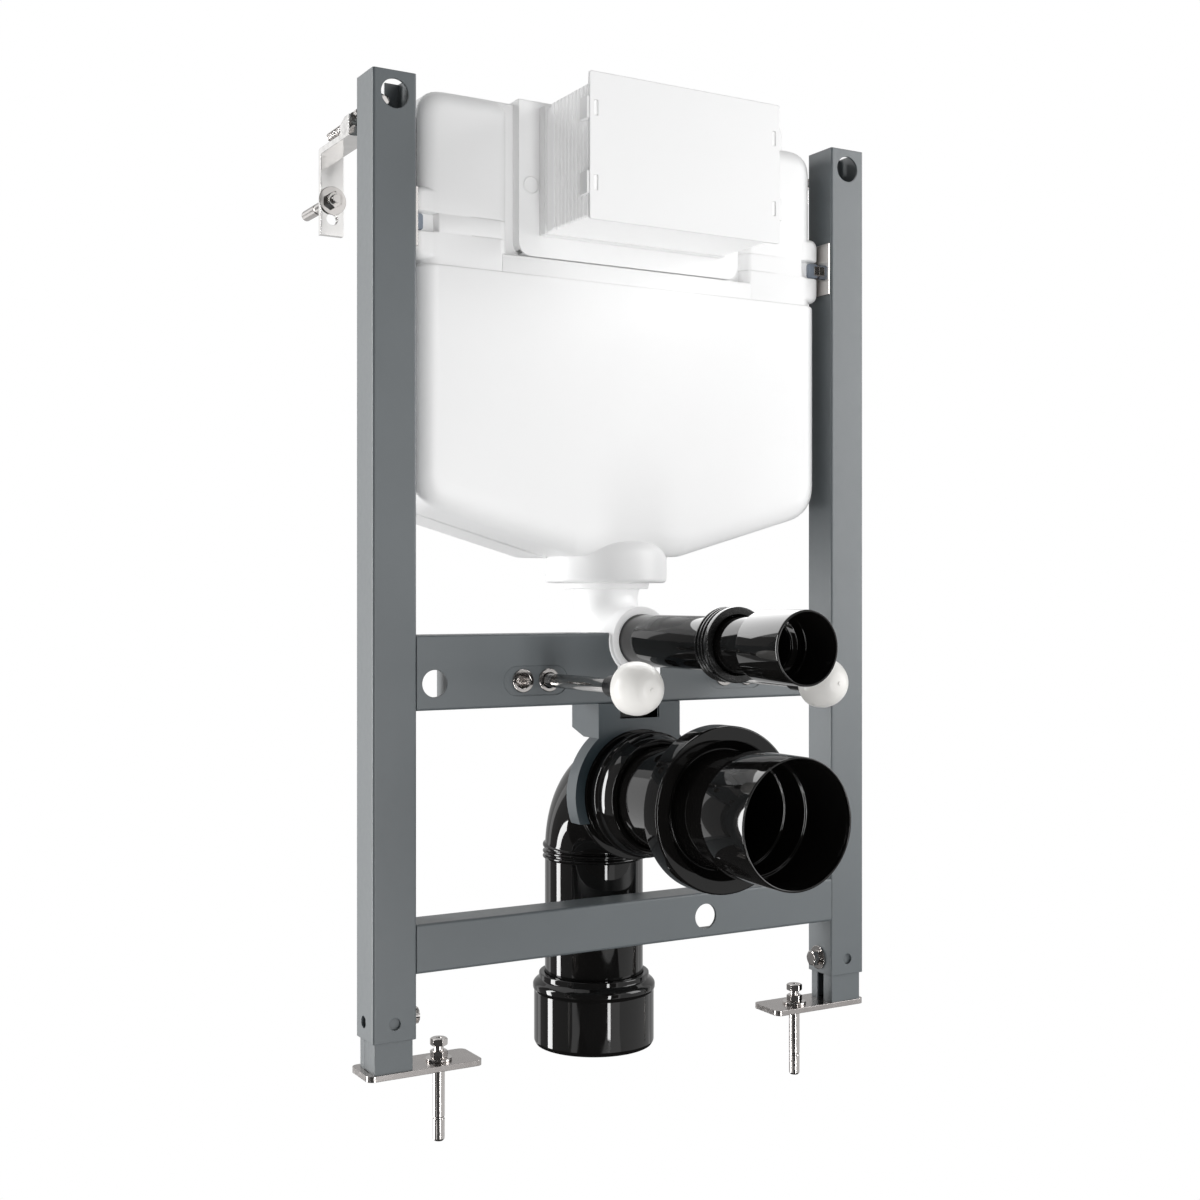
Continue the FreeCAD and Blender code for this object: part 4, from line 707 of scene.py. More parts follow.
@dataclass
class FlushPipes:
    """The white bend under the cistern, the black pipe, its ribbed seal and its mouth."""

    height: float = 350.5
    outlet: float = FLUSH_DEPTH
    turn: float = 40.0

    def bend(self) -> None:
        """The white bend with its neck and front socket, and the union ring above it."""
        start = self.outlet - self.turn
        quarter = math.pi / 2 * self.turn
        top = quarter + 395.6 - self.height - self.turn
        face = -start
        outline = [
            (face - 3, 22.8), (face - 3, 29.0), (face - 2.4, 29.5), (face + 13, 29.5), (face + 15, 28.6),
            (face + 17.5, 26.6), (quarter * 0.6, 27.4), (quarter, 28.8), (top, 30.5), (top, 22.0),
            (face + 14, 22.0), (face + 14, 22.8),
        ]
        shape = Shape()
        centre = (0, start, self.height + self.turn)
        BentPipe(centre, self.turn, True, round_corners(outline, 0.8), 112).build(shape)
        made = shape.piece("flush_bend_skin", Finish.WHITE_PIPE, Body.FRAME, PIPE_CREASE)
        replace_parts(made, "flush_bend")
        ring = Shape()
        collar = [(395.6, 22.0), (395.6, 37.6), (396.6, 38.4), (400.4, 39.0), (401, 38.6), (401, 22.0)]
        ring.lathe(round_corners(collar, 0.5, 2), 112, placed(0, self.outlet, 0, Facing.UP))
        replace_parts(ring.piece("flush_collar_skin", Finish.WHITE_PIPE, Body.FRAME), "flush_collar")

    def pipe(self) -> None:
        """The black pipe from the socket to the mouth."""
        shape = Shape()
        outline = [(-14, 20.5), (-14, 22.5), (191, 22.5), (191, 20.5)]
        shape.lathe(round_corners(outline, 0.5, 2), 96, placed(0, 0, self.height, Facing.FRONT))
        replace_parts(shape.piece("flush_pipe_skin", Finish.BLACK_PIPE, Body.FRAME), "flush_pipe")

    def seal(self) -> None:
        """The ribbed seal with its dished front lip."""
        shape = Shape()
        outline: list[Point] = [(150, 24.6), (150, 30.0), (149.4, 30.5), (145.2, 30.5), (144.6, 28.4)]
        for number in range(3):
            crest = 141.6 - 4.3 * number
            outline += [(crest + 1.0, 28.4), (crest + 0.5, 30.4), (crest - 0.9, 30.4), (crest - 1.4, 28.4)]
        outline += [(129, 28.4), (129, 22.8), (143, 22.8), (144.4, 24.0)]
        shape.lathe(round_corners(outline, 0.35, 2), 112, placed(0, 0, self.height, Facing.FRONT))
        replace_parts(shape.piece("flush_seal_skin", Finish.SEAL, Body.FRAME, 38), "flush_seal")

    def mouth(self) -> None:
        """The stepped mouth at the end of the flush pipe."""
        shape = Shape()
        outline = [(239.5, 27.2), (239.5, 28.8), (238.6, 29.0), (185.8, 28.0), (185, 27.3), (185, 22.8),
                   (191, 22.8), (191, 20.8), (193, 20.8), (193, 26.0), (203, 26.0), (203, 26.9)]
        shape.lathe(round_corners(outline, 0.6), 112, placed(0, 0, self.height, Facing.FRONT))
        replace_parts(shape.piece("flush_connector_skin", Finish.BLACK_PIPE, Body.FRAME), "flush_connector")

    def build(self) -> None:
        """Makes all of them."""
        self.bend()
        self.pipe()
        self.seal()
        self.mouth()


def hexagon(shape: Shape, start: float, end: float, place: Matrix, bore: float = 0.01) -> None:
    """Adds a hexagon with turned chamfers at both ends.

    Args:
        shape: Mesh that takes the faces.
        start: Lower end along the axis, in mm.
        end: Upper end along the axis, in mm.
        place: Where the axis goes.
        bore: Radius of the hole through it; a solid head keeps a pinhole.
    """
    steps = 72
    flat = NUT_FLATS / 2
    inner = flat * 0.94
    widest = flat * 1.135
    slope = 0.55
    corners = []
    for step in range(steps):
        angle = 2 * math.pi * step / steps
        swing = (angle + math.pi / 6) % (math.pi / 3) - math.pi / 6
        corners.append((angle, min(flat / math.cos(swing), widest)))
    levels = ((start, 0.0, bore), (start, 0.0, inner), (start, slope, 0.0), (end, -slope, 0.0),
              (end, 0.0, inner), (end, 0.0, bore))
    loops = []
    for level, tilt, size in levels:
        ring = [(size or out, angle, level + (out - inner) * tilt) for angle, out in corners]
        loops.append([spun(place, *point) for point in ring])
    shape.rings(loops, closed=True)


def thread(shape: Shape, start: float, end: float, radius: float, pitch: float, place: Matrix,
           steps: int = 28) -> None:
    """Adds a threaded length with a real helix.

    Args:
        shape: Mesh that takes the faces.
        start: Lower end along the axis, in mm.
        end: Upper end along the axis, in mm.
        radius: Outer radius, in mm.
        pitch: Thread pitch, in mm.
        place: Where the axis goes.
        steps: Spans round the axis.
    """
    depth = pitch * 0.42
    rows = int((end - start) / (pitch / 4))
    loops = []
    for row in range(rows + 1):
        along = start + (end - start) * row / rows
        taper = min(1.0, row / 4, (rows - row) / 4)
        loop = []
        for step in range(steps):
            turn = step / steps
            phase = (along / pitch - turn) % 1.0
            cut = depth * abs(phase * 2 - 1) ** 1.3
            out = radius - 0.35 * (1 - taper) - cut * (0.4 + 0.6 * taper)
            loop.append(spun(place, out, 2 * math.pi * turn, along))
        loops.append(loop)
    shape.rings(loops, closed=False)


@dataclass
class PanFixings:
    """Studs, sleeves, caps and inserts on the upper bar."""

    height: float = 318.0
    near: float = 90.0
    far: float = 115.0

    def place(self, side: Side, across: float) -> Matrix:
        """The axis of a fixing so far from the middle plane."""
        return placed(side.value * across, 0, self.height, Facing.FRONT)

    def stud(self, side: Side) -> None:
        """The bright stud with its thread where it leaves the insert.

        Args:
            side: Which half of the frame.
        """
        place = self.place(side, self.near)
        shape = Shape()
        thread(shape, -22.8, 12.0, 5.9, 1.75, place, 32)
        smooth = [(11.0, 0.0), (11.0, 5.2), (13.0, 6.0), (150.0, 6.0), (150.0, 0.0)]
        shape.lathe(smooth, 64, place)
        made = shape.piece("pan_stud_%s_skin" % side.word, Finish.STUD_STEEL, Body.FRAME)
        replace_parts(made, "pan_stud_" + side.word)

    def sleeve(self, side: Side) -> None:
        """The dark sleeve behind the cap.

        Args:
            side: Which half of the frame.
        """
        place = self.place(side, self.near)
        shape = Shape()
        outline = [(102, 6.3), (102, 8.0), (102.6, 8.5), (135, 8.5), (135, 6.3)]
        shape.lathe(round_corners(outline, 0.4, 2), 64, place)
        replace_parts(shape.piece("stud_sleeve_%s_skin" % side.word, Finish.SLEEVE, Body.FRAME),
                    "stud_sleeve_" + side.word)

    def cap(self, side: Side) -> None:
        """The white cap: short rim, long shoulder and blunt nose.

        Args:
            side: Which half of the frame.
        """
        place = self.place(side, self.near)
        shape = Shape()
        nose = [
            (165.0, 0.0), (165.0, 1.3), (164.3, 1.6), (164.3, 4.0), (163.4, 8.0), (160.8, 12.2),
            (156.5, 16.0), (151.0, 19.2), (145.5, 20.8), (141.0, 20.95), (136.2, 20.7), (135.0, 19.8),
            (135.0, 6.3), (150.0, 6.3), (150.0, 0.0),
        ]
        outline = nose[:4] + round_corners(nose[3:13], 5.0, 4)[5:-5] + nose[12:]
        shape.lathe(outline, 96, place)
        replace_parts(shape.piece("stud_cap_%s_skin" % side.word, Finish.CAP, Body.FRAME, 50),
                    "stud_cap_" + side.word)

    def inserts(self, side: Side) -> None:
        """The two rimmed inserts of one side; the far one is empty and shows its thread.

        Args:
            side: Which half of the frame.
        """
        shape = Shape()
        for across, bore in ((self.near, 6.3), (self.far, 5.2)):
            outline = [(-22.8, bore), (-22.8, 7.5), (-0.8, 7.5), (-0.8, 10.0), (0.2, 10.0), (0.7, 9.5),
                       (0.7, 6.9), (-0.6, bore + 0.3)]
            for turn in range(12):
                along = -1.6 - turn * 1.75
                outline += [(along, bore), (along - 0.8, bore + 0.7)]
            shape.lathe(outline, 64, self.place(side, across))
        made = shape.piece("stud_inserts_%s_skin" % side.word, Finish.ZINC, Body.FRAME)
        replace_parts(made, "stud_inserts_" + side.word)

    def build(self) -> None:
        """Makes both sides."""
        for side in Side:
            self.stud(side)
            self.sleeve(side)
            self.cap(side)
            self.inserts(side)


@dataclass
class Fasteners:
    """Floor anchors, lock bolts, wall rods and wall anchors, and the small blocks and walls beside them."""

    post_middle: float = 231.0
    rod_height: float = 794.0
    nuts: Quad = (-34.0, -42.5, -74.0, -86.0)
    nut_height: float = 6.5
    screw_drop: float = 57.0
    anchor_across: float = 183.5
    lock_across: float = 212.0
    lock_height: float = 44.8
    tube_middle: float = 20.0

    def floor_anchor(self, side: Side) -> None:
        """Washer, nut, neck and head above the foot plate, plain shank with its clip below.

        Args:
            side: Which half of the frame.
        """
        place = placed(side.value * self.anchor_across, self.tube_middle, 0, Facing.UP)
        shape = Shape()
        shank = [(-62, 0.0), (-62, 3.6), (-60.4, 4.9), (-44, 5.0), (-43.4, 4.5), (-42.2, 4.5), (-41.6, 5.0),
                 (4.7, 5.0), (4.7, 0.0)]
        shape.lathe(shank, 48, place)
        washer = [(4.7, 4.2), (4.7, 10.8), (5.1, 11.0), (6.6, 11.0), (7.0, 10.6), (7.0, 4.2)]
        shape.lathe(washer, 64, place)
        hexagon(shape, 7.0, 13.0, place, 3.6)
        neck = [(13.0, 0.0), (13.0, 4.0), (17.2, 4.0), (17.2, 0.0)]
        shape.lathe(neck, 40, place)
        hexagon(shape, 17.0, 23.0, place, 2.2)
        dish = [(22.0, 0.0), (22.0, 3.0), (22.6, 3.2), (22.6, 0.0)]
        shape.lathe(dish, 32, place)
        made = shape.piece("floor_anchor_%s_skin" % side.word, Finish.ZINC, Body.leg(side), METAL_CREASE)
        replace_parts(made, "floor_anchor_" + side.word)

    def lock_bolt(self, side: Side) -> None:
        """Hexagon bolt, spring washer and washer on the inner face of the post.

        Args:
            side: Which half of the frame.
        """
        facing = Facing.RIGHT if side is Side.LEFT else Facing.LEFT
        place = placed(side.value * self.lock_across, self.tube_middle, self.lock_height, facing)
        shape = Shape()
        washer = [(0.0, 4.2), (0.0, 10.7), (0.4, 11.0), (1.3, 11.0), (1.6, 10.7), (1.6, 4.2)]
        shape.lathe(washer, 64, place)
        spring = [(1.6, 4.2), (1.6, 6.8), (3.0, 6.8), (3.0, 4.2)]
        shape.lathe(spring, 48, place)
        hexagon(shape, 3.0, 9.0, place)
        shank = [(-4.7, 0.0), (-4.7, 4.0), (3.2, 4.0), (3.2, 0.0)]
        shape.lathe(shank, 40, place)
        hexagon(shape, -10.7, -4.7, place)
        made = shape.piece("lock_bolt_%s_skin" % side.word, Finish.ZINC, Body.FRAME, METAL_CREASE)
        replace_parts(made, "lock_bolt_" + side.word)

    def wall_rod(self, side: Side) -> None:
        """Threaded rod with two nuts at the post and two at the bracket's tab.

        Args:
            side: Which half of the frame.
        """
        place = placed(side.value * self.post_middle, 0, self.rod_height, Facing.FRONT)
        shape = Shape()
        thread(shape, -145.6, -19.5, 4.0, 1.25, place)
        for start in self.nuts:
            hexagon(shape, start, start + self.nut_height, place, 3.3)
        made = shape.piece("wall_rod_%s_skin" % side.word, Finish.ZINC, Body.FRAME, METAL_CREASE)
        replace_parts(made, "wall_rod_" + side.word)

    def wall_anchor(self, side: Side) -> None:
        """Screw head and washer on the bracket's leg, slotted shank in the wall.

        Args:
            side: Which half of the frame.
        """
        height = self.rod_height - self.screw_drop
        place = placed(side.value * self.post_middle, 0, height, Facing.FRONT)
        shape = Shape()
        shank = [
            (-208, 0.0), (-208, 3.4), (-206.5, 4.8), (-176, 5.0), (-175.4, 4.5), (-174, 4.5),
            (-173.4, 5.0), (-141.1, 5.0), (-141.1, 0.0),
        ]
        shape.lathe(shank, 48, place)
        washer = [
            (-141.1, 4.2), (-141.1, 12.2), (-140.7, 12.5), (-139.9, 12.5), (-139.5, 12.2), (-139.5, 4.2),
        ]
        shape.lathe(washer, 72, place)
        hexagon(shape, -139.5, -133.5, place, 3.0)
        stub = [(-133.9, 0.0), (-133.9, 3.9), (-129.9, 3.9), (-129.5, 3.5), (-129.5, 0.0)]
        shape.lathe(stub, 40, place)
        made = shape.piece("wall_anchor_%s_skin" % side.word, Finish.ZINC, Body.FRAME, METAL_CREASE)
        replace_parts(made, "wall_anchor_" + side.word)

    def fixing_block(self, side: Side) -> None:
        """The blue-grey block round the bolt in the notch of the cistern's fixing lug.

        Args:
            side: Which half of the frame.
        """
        shape = Shape()
        edges = upright(side, 198.6, 209.6, 691.0, 704.6, (2.6,) * 4, (1.2,) * 4)
        PressedBox(edges, 17.0, 29.0, 1.2, 1.0, 4, 4).build(shape)
        shape.piece("fixing_block_" + side.word, Finish.FIXING, Body.FRAME)

    def tube_side(self, side: Side) -> None:
        """The outer wall of the foot tube, whole where the CAD tube is slotted through.

        Args:
            side: Which half of the frame.
        """
        shape = Shape()
        edges = upright(side, 245.65, 247.38, 4.72, 249.0, (0.1,) * 4, (0.05,) * 4)
        PressedBox(edges, 15.21, 24.79, 0.05, 0.05, 1, 1).build(shape)
        shape.piece("tube_side_" + side.word, Finish.FRAME_PAINT, Body.leg(side))

    def build(self) -> None:
        """Makes both sides."""
        for side in Side:
            self.tube_side(side)
            self.fixing_block(side)
            self.floor_anchor(side)
            self.lock_bolt(side)
            self.wall_rod(side)
            self.wall_anchor(side)


@dataclass
class Cistern:
    """The moulded tank, with its lugs, weld seam and outlet, and the access sleeve in front of it."""

    half: float = 205.0
    ledge: float = 663.2
    side_low: float = 467.0
    floor: float = 424.5
    flat: float = 55.0
    front: float = 10.0
    back: float = 138.0
    seam: float = 75.0
    shoulder: float = 201.0
    shoulder_inner: float = 121.0
    shoulder_front: float = 12.6
    top: float = 809.4
    recess: float = 23.0
    lug: float = 208.4
    lug_low: float = 666.5
    lug_high: float = 727.0
    notch: Point = (690.0, 705.6)
    clip_across: float = 88.6
    clip_heights: Point = (723.5, 784.0)
    notch_inner: float = 188.0

    def funnel(self, grow: float, near: float, far: float, rounded: bool) -> PressedBox:
        """The lower half, or a rib round it.

        Args:
            grow: Millimetres by which the outline is larger.
            near: Front of the box.
            far: Back of the box.
            rounded: Whether the front is rounded as the tank is.

        Returns:
            The box.
        """
        half, low = self.half + grow, self.floor - grow
        kind = (16.0, 22.0, 24.0, 1.1) if rounded else (0.6, 0.6, 0.6, 0.6)
        edges = [Edge((-half, self.ledge), 4.0, kind[0]), Edge((-half, self.side_low), 34.0, kind[1]),
                 Edge((-self.flat, low), 26.0, kind[2]), Edge((self.flat, low), 26.0, kind[1]),
                 Edge((half, self.side_low), 34.0, kind[0]), Edge((half, self.ledge), 4.0, kind[3])]
        return PressedBox(edges, near, far, 16.0 if rounded else 0.5, 12.0 if rounded else 0.5,
                          9 if rounded else 2, 8)

    def shoulders(self, side: Side, shape: Shape) -> None:
        """One shoulder in front of the recess floor, stepped in where the bolt notch is.

        Args:
            side: Which half of the frame.
            shape: Mesh that takes the faces.
        """
        low, high = self.notch
        parts = ((high, self.top, self.shoulder, 16.0, 15.0), (low, high, self.notch_inner, 0.0, 2.0),
                 (self.ledge - 8, low, self.shoulder, 0.0, 15.0))
        for bottom, top, outer, over, beside in parts:
            corner = 24.0 if over else SHARP
            corners = (min(corner, 15.0), corner, SHARP, SHARP)
            fronts = (over, beside, 0.0, 9.0)
            edges = upright(side, self.shoulder_inner, outer, bottom, top, corners, fronts)
            PressedBox(edges, self.shoulder_front, self.recess + 10, 13.0, 1.0, 8, 8).build(shape)

    def lugs(self, side: Side, shape: Shape) -> None:
        """The two rounded bosses of one fixing lug, above and below the bolt, and the notch's floor.

        Args:
            side: Which half of the frame.
            shape: Mesh that takes the faces.
        """
        low, high = self.notch
        near = self.notch_inner - 2
        for bottom, top, under, over in ((self.lug_low, low, 5.0, 1.2), (high, self.lug_high, 1.2, 5.0)):
            heel, toe = (9.0 if front > 2 else 2.5 for front in (under, over))
            corners = (SHARP, toe, heel, SHARP)
            edges = upright(side, near, self.lug, bottom, top, corners, (over, 7.5, under, 0.0))
            PressedBox(edges, self.shoulder_front + 0.4, 58.0, 8.0, 2.0, 6, 6).build(shape)
        edges = upright(side, near, self.lug - 1, low - 1, high + 1, (0.4,) * 4, (0.0,) * 4)
        PressedBox(edges, 21.0, 57.0, 0.4, 0.4, 2, 2).build(shape)

    def sill(self, shape: Shape) -> None:
        """The strip between the shoulders, under the recess.

        Args:
            shape: Mesh that takes the faces.
        """
        wide = self.shoulder_inner + 7
        low, high = self.ledge - 8, self.ledge + 15.3
        edges = upright(Side.RIGHT, -wide, wide, low, high, (SHARP,) * 4, (2.0, 0.0, 0.0, 0.0))
        PressedBox(edges, self.shoulder_front - 0.05, self.recess + 6, 2.0, 0.5, 4, 2).build(shape)

    def outlet(self, shape: Shape) -> None:
        """The round outlet with its domed top, let into the funnel.

        Args:
            shape: Mesh that takes the faces.
        """
        dome = [(401.0, 22.0), (401.0, 52.0), (402.0, 54.2), (404.0, 55.0), (424.0, 55.0), (430.0, 54.0),
                (435.0, 51.0), (438.0, 46.0), (438.0, 22.0)]
        shape.lathe(round_corners(dome, 3.0, 4), 128, placed(0, FLUSH_DEPTH, 0, Facing.UP))

    def build(self) -> None:
        """Makes the tank as one piece, then the sleeve and the clips' faces."""
        shape = Shape()
        self.funnel(0.0, self.front, self.back, True).build(shape)
        self.funnel(1.3, self.seam - 1.8, self.seam - 0.3, False).build(shape)
        self.funnel(1.3, self.seam + 0.3, self.seam + 1.8, False).build(shape)
        corners = (22.0, 22.0, 2.0, 2.0)
        wide = self.shoulder
        edges = upright(Side.RIGHT, -wide, wide, self.ledge - 4, self.top, corners, (2.0,) * 4)
        PressedBox(edges, self.recess, self.back, 2.0, 12.0, 6, 8).build(shape)
        for side in Side:
            self.shoulders(side, shape)
            self.lugs(side, shape)
        self.sill(shape)
        self.outlet(shape)
        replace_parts(shape.piece("cistern_skin", Finish.CISTERN, Body.FRAME, PIPE_CREASE), "cistern")
        self.sleeve()
        self.clip_faces()

    @staticmethod
    def square(half: float, low: float, high: float, depth: float) -> list[Vector]:
        """One chamfered rectangle of the sleeve.

        Args:
            half: Half its width.
            low: Height of its lower side above the floor.
            high: Height of its upper side above the floor.
            depth: Millimetres behind the front of the posts.

        Returns:
            The eight corners in the row frame.
        """
        cut = 1.2
        corners = [(half, low + cut), (half, high - cut), (half - cut, high), (cut - half, high),
                   (-half, high - cut), (-half, low + cut), (cut - half, low), (half - cut, low)]
        return [DATUM.at(x, depth, z) for x, z in corners]

    def sleeve(self) -> None:
        """The sleeve from the panel to the cover: ridged at its sides and top, smooth below."""
        half, low, high, wall = 90.5, 699.5, 803.0, 2.5
        front, back, proud = -74.5, 3.0, 2.0
        ridge = ((0.0, 1.8), (0.3, proud), (3.9, proud), (4.2, 0.7), (5.9, 0.7))
        pitch, ridges = 6.2, 11
        profile = [(front + pitch * number + along, out) for number in range(ridges) for along, out in ridge]
        profile.append((back, 0.1))
        loops = [self.square(half + out, low - proud, high + out, depth) for depth, out in profile]
        loops += [self.square(half - wall, low + wall, high - wall, depth) for depth in (back, front)]
        shape = Shape()
        shape.rings(loops, closed=True)
        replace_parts(shape.piece("access_tunnel_skin", Finish.SLEEVE_WHITE, Body.FRAME, 28), "access_tunnel")

    def clip_faces(self) -> None:
        """The faces of the four clips, seen in the cover's slots."""
        shape = Shape()
        for side in Side:
            for height in self.clip_heights:
                near, far = self.clip_across - 1.6, self.clip_across + 1.6
                low, high = height - 6.15, height + 6.15
                edges = upright(side, near, far, low, high, (SHARP,) * 4, (0.4,) * 4)
                PressedBox(edges, -76.2, -74.4, 0.4, 0.2, 3, 3).build(shape)
        shape.piece("cover_clip_faces", Finish.SLEEVE_WHITE, Body.FRAME)


NODE_FINISHES = {
    Finish.FRAME_PAINT: ("post_left", "post_right", "foot_tube_left", "foot_tube_right", "crossbar_upper",
                         "crossbar_lower", "stud_backing_left", "stud_backing_right"),
    Finish.BRACKET_PAINT: ("waste_bracket",),
    Finish.ZINC: ("cistern_fixing_left", "cistern_fixing_right"),
    # The wall brackets take the lighter zinc, a painted reflection.
    Finish.BRACKET_ZINC_PAINTED_REFLECTION: ("wall_bracket_left", "wall_bracket_right"),
    Finish.PLATE: ("foot_plate_left", "foot_plate_right"),
    Finish.CISTERN: ("access_panel", "access_cover"),
}


class DressedNodes:
    """The CAD nodes whose shape stays."""

    def build(self) -> None:
        """Gives each node its material."""
        for finish, nodes in NODE_FINISHES.items():
            for node in nodes:
                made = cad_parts[node]
                if not made.material_slots:
                    made.data.materials.append(None)
                for slot in made.material_slots:
                    slot.link = "OBJECT"
                    slot.material = finish.material()
                LOG.info("node %s: %s", node, finish.name.lower())


@dataclass
class Studio:
    """Camera, lamps, white surroundings and the dark cards that black gloss shows."""

    eye: Spot = (-737.6, -1199.9, 391.4)
    swing: float = 30.16
    lens: float = 48.19
    shift: float = -0.00534
    middle: Spot = (0.0, 0.0, 380.0)
    ambient: float = 0.26

    def camera(self) -> None:
        """Level camera at the photo's place."""
        data = bpy.data.cameras.new("camera")
        data.lens = self.lens
        data.sensor_width = 36.0
        data.shift_y = self.shift
        data.clip_start = 0.01
        made = bpy.data.objects.new("camera", data)
        made.location = DATUM.at(*self.eye)
        made.rotation_euler = (math.radians(90), 0, math.radians(-self.swing))
        bpy.context.scene.collection.objects.link(made)
        bpy.context.scene.camera = made

    def around(self, bearing: float, lift: float, reach: float) -> Vector:
        """A point round the middle of the object.

        Args:
            bearing: Degrees to the right of the camera, seen from the object.
            lift: Degrees above level.
            reach: Distance in metres.

        Returns:
            The point in the row frame.
        """
        angle = math.radians(self.swing - bearing)
        level = math.cos(math.radians(lift)) * reach
        rise = math.sin(math.radians(lift)) * reach
        return DATUM.at(*self.middle) + Vector((-math.sin(angle) * level, -math.cos(angle) * level, rise))

    def lamp(self, name: str, spot: Vector, size: Point, power: float, mirrored: bool = True,
             aim: Spot = middle) -> None:
        """A rectangular lamp, as a rule turned to the middle of the object.

        Args:
            name: Name of the lamp.
            spot: Where it stands.
            size: Width and height in metres.
            power: Watts.
            mirrored: Whether glossy surfaces show it.
            aim: Point in the floor frame it faces.
        """
        data = bpy.data.lights.new(name, "AREA")
        data.shape = "RECTANGLE"
        data.size, data.size_y = size
        data.energy = power
        made = bpy.data.objects.new(name, data)
        made.location = spot
        made.rotation_euler = (DATUM.at(*aim) - spot).to_track_quat("-Z", "Y").to_euler()
        made.visible_glossy = mirrored
        made.visible_camera = False
        bpy.context.scene.collection.objects.link(made)

    @staticmethod
    def sheet(name: str, size: Point) -> tuple[bpy.types.Object, bpy.types.NodeTree]:
        """A flat rectangle round its own origin.

        Args:
            name: Name of the sheet and its material.
            size: Width and height in metres.

        Returns:
            The object and its material's nodes.
        """
        mesh = bpy.data.meshes.new(name)
        x, y = size[0] / 2, size[1] / 2
        mesh.from_pydata([(-x, -y, 0), (x, -y, 0), (x, y, 0), (-x, y, 0)], [], [(0, 1, 2, 3)])
        material = bpy.data.materials.new(name)
        material.use_nodes = True
        mesh.materials.append(material)
        made = bpy.data.objects.new(name, mesh)
        bpy.context.scene.collection.objects.link(made)
        return made, material.node_tree

    def card(self, name: str, spot: Vector, size: Point, shade: float, level: bool = False) -> None:
        """A card that only shows in reflections.

        Args:
            name: Name of the card.
            spot: Its middle.
            size: Width and height in metres.
            shade: Grey of the card.
            level: Whether it lies flat.
        """
        made, tree = self.sheet(name, size)
        made.location = spot
        if not level:
            aim = DATUM.at(*self.middle) - spot
            made.rotation_euler = aim.to_track_quat("-Z", "Y").to_euler()
        glow = tree.nodes.new("ShaderNodeEmission")
        glow.inputs["Color"].default_value = (shade, shade, shade, 1)
        tree.links.new(glow.outputs["Emission"], tree.nodes["Material Output"].inputs["Surface"])
        made.visible_camera = False
        made.visible_diffuse = False
        made.visible_shadow = False

    def floor(self) -> None:
        """A wide pale floor well below the anchors' tips."""
        made, tree = self.sheet("floor", (24.0, 24.0))
        made.location = DATUM.at(0, 0, -1500.0)
        shader = tree.nodes["Principled BSDF"]
        shader.inputs["Base Color"].default_value = (0.9, 0.9, 0.9, 1)
        shader.inputs["Roughness"].default_value = 0.9
        path = tree.nodes.new("ShaderNodeLightPath")
        glow = tree.nodes.new("ShaderNodeEmission")
        glow.inputs["Color"].default_value = (1, 1, 1, 1)
        blend = tree.nodes.new("ShaderNodeMixShader")
        tree.links.new(self.seen(tree, path), blend.inputs["Fac"])
        tree.links.new(shader.outputs["BSDF"], blend.inputs[1])
        tree.links.new(glow.outputs["Emission"], blend.inputs[2])
        tree.links.new(blend.outputs["Shader"], tree.nodes["Material Output"].inputs["Surface"])

    @staticmethod
    def seen(tree: bpy.types.NodeTree, path: bpy.types.Node) -> bpy.types.NodeSocket:
        """Tells the rays that show a surface to the eye from those that light another one.

        Args:
            tree: Nodes that take the sum.
            path: Light path node of that tree.

        Returns:
            Socket that is 1 for camera, glossy and transmission rays and 0 for others.
        """
        total = path.outputs["Is Camera Ray"]
        for word in ("Is Glossy Ray", "Is Transmission Ray"):
            add = tree.nodes.new("ShaderNodeMath")
            add.operation = "ADD"
            add.use_clamp = True
            tree.links.new(total, add.inputs[0])
            tree.links.new(path.outputs[word], add.inputs[1])
            total = add.outputs["Value"]
        return total

    def surroundings(self) -> None:
        """White for the eye and for reflections, a soft grey for the light it sheds."""
        world = bpy.data.worlds.new("surroundings")
        bpy.context.scene.world = world
        world.use_nodes = True
        tree = world.node_tree
        shader = tree.nodes["Background"]
        path = tree.nodes.new("ShaderNodeLightPath")
        spread = tree.nodes.new("ShaderNodeMapRange")
        spread.inputs["To Min"].default_value = self.ambient
        spread.inputs["To Max"].default_value = 1.0
        tree.links.new(self.seen(tree, path), spread.inputs["Value"])
        tree.links.new(spread.outputs["Result"], shader.inputs["Strength"])
        shader.inputs["Color"].default_value = (1, 1, 1, 1)

    def build(self) -> None:
        """Sets up the whole studio."""
        self.camera()
        self.surroundings()
        self.floor()
        self.lamp("left_strip", self.around(-94, 0, 2.2), (0.46, 2.4), 52)
        self.lamp("front_strip", self.around(29, -14, 2.2), (0.20, 1.2), 12)
        self.lamp("right_box", self.around(86, 12, 2.2), (1.0, 1.7), 24)
        self.lamp("front_fill", self.around(18, 6, 3.4), (3.0, 3.0), 18.5, False)
        self.lamp("pipe_shine", DATUM.at(0, -90, 432), (0.20, 0.09), 0.2, True, (0.0, -205.0, 362.0))
        self.lamp("under_fill", self.around(-20, -60, 2.0), (2.2, 2.2), 15, False)
        self.card("card_front", self.around(0, 0, 3.8), (8.0, 6.0), 0.06)
        self.card("card_left", self.around(-84, 0, 3.2), (5.6, 6.0), 0.20)
        self.card("card_right", self.around(92, 0, 3.2), (5.6, 6.0), 0.6)
        self.card("card_below", DATUM.at(0, 0, -1460), (7.0, 7.0), 0.03, True)
        self.card("card_back", self.around(180, 0, 3.6), (7.0, 6.0), 0.5)
        self.card("card_above", DATUM.at(0, -1400, 3200), (7.0, 4.0), 0.05, True)
        self.card("card_high", self.around(50, 25, 2.4), (1.1, 0.9), 1.0)
        bpy.context.scene.view_settings.view_transform = "Standard"


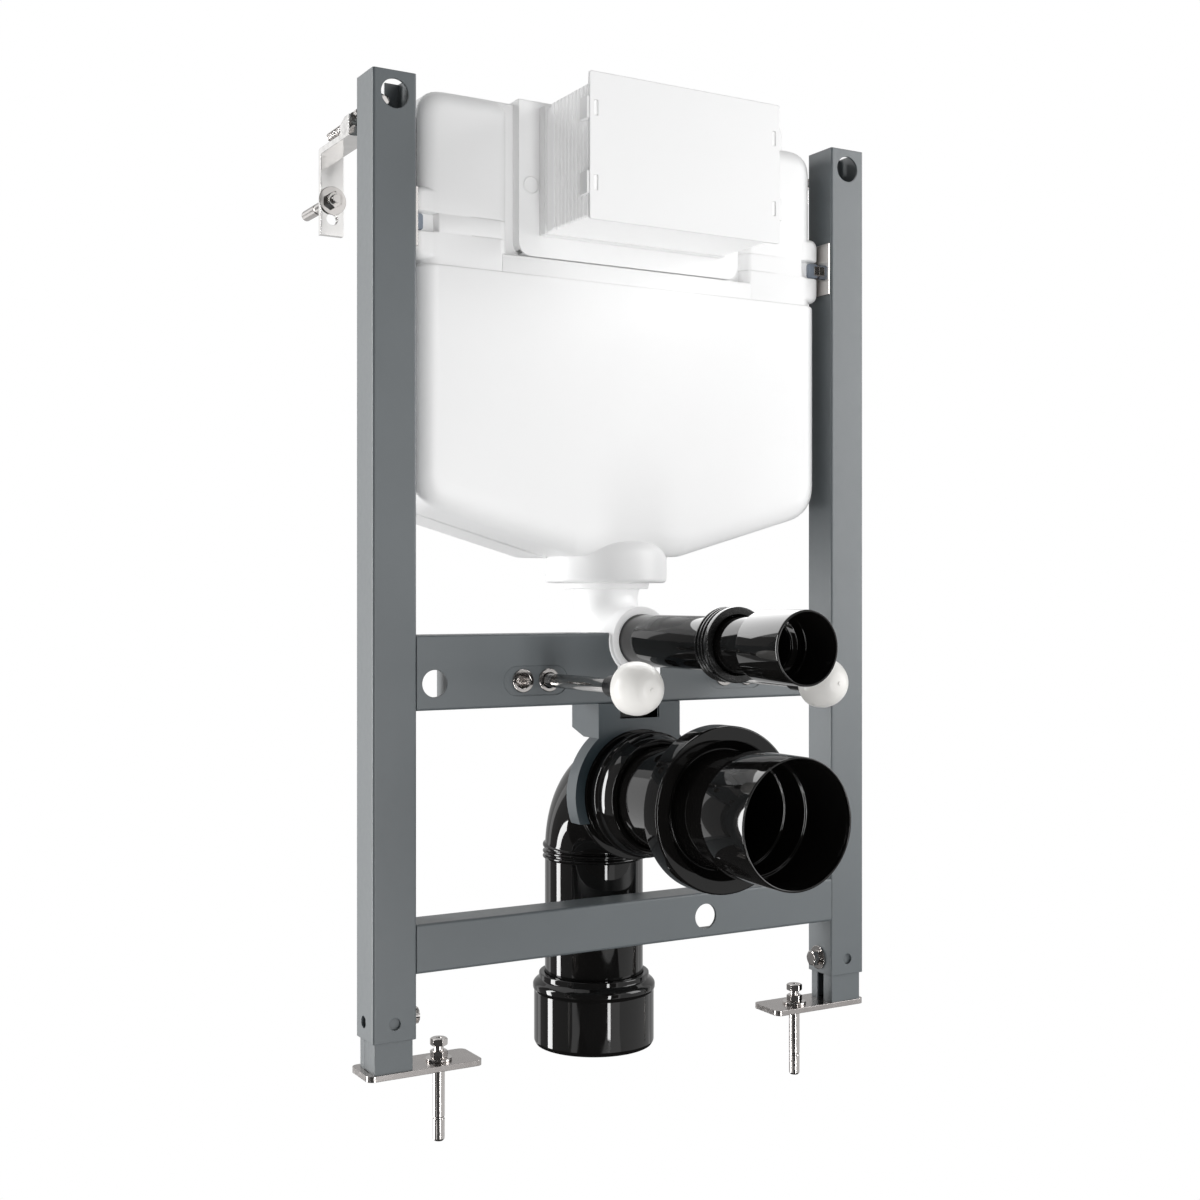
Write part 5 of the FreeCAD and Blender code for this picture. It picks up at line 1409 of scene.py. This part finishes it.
def main() -> None:
    """Builds the studio and every piece."""
    logging.basicConfig(level=logging.INFO, format="%(name)s: %(message)s")
    parts = (Studio(), DressedNodes(), Cistern(), WastePipes(), FlushPipes(), PanFixings(), Fasteners())
    for part in parts:
        LOG.info("building %s", type(part).__name__)
        part.build()


if __name__ == "__main__":
    main()
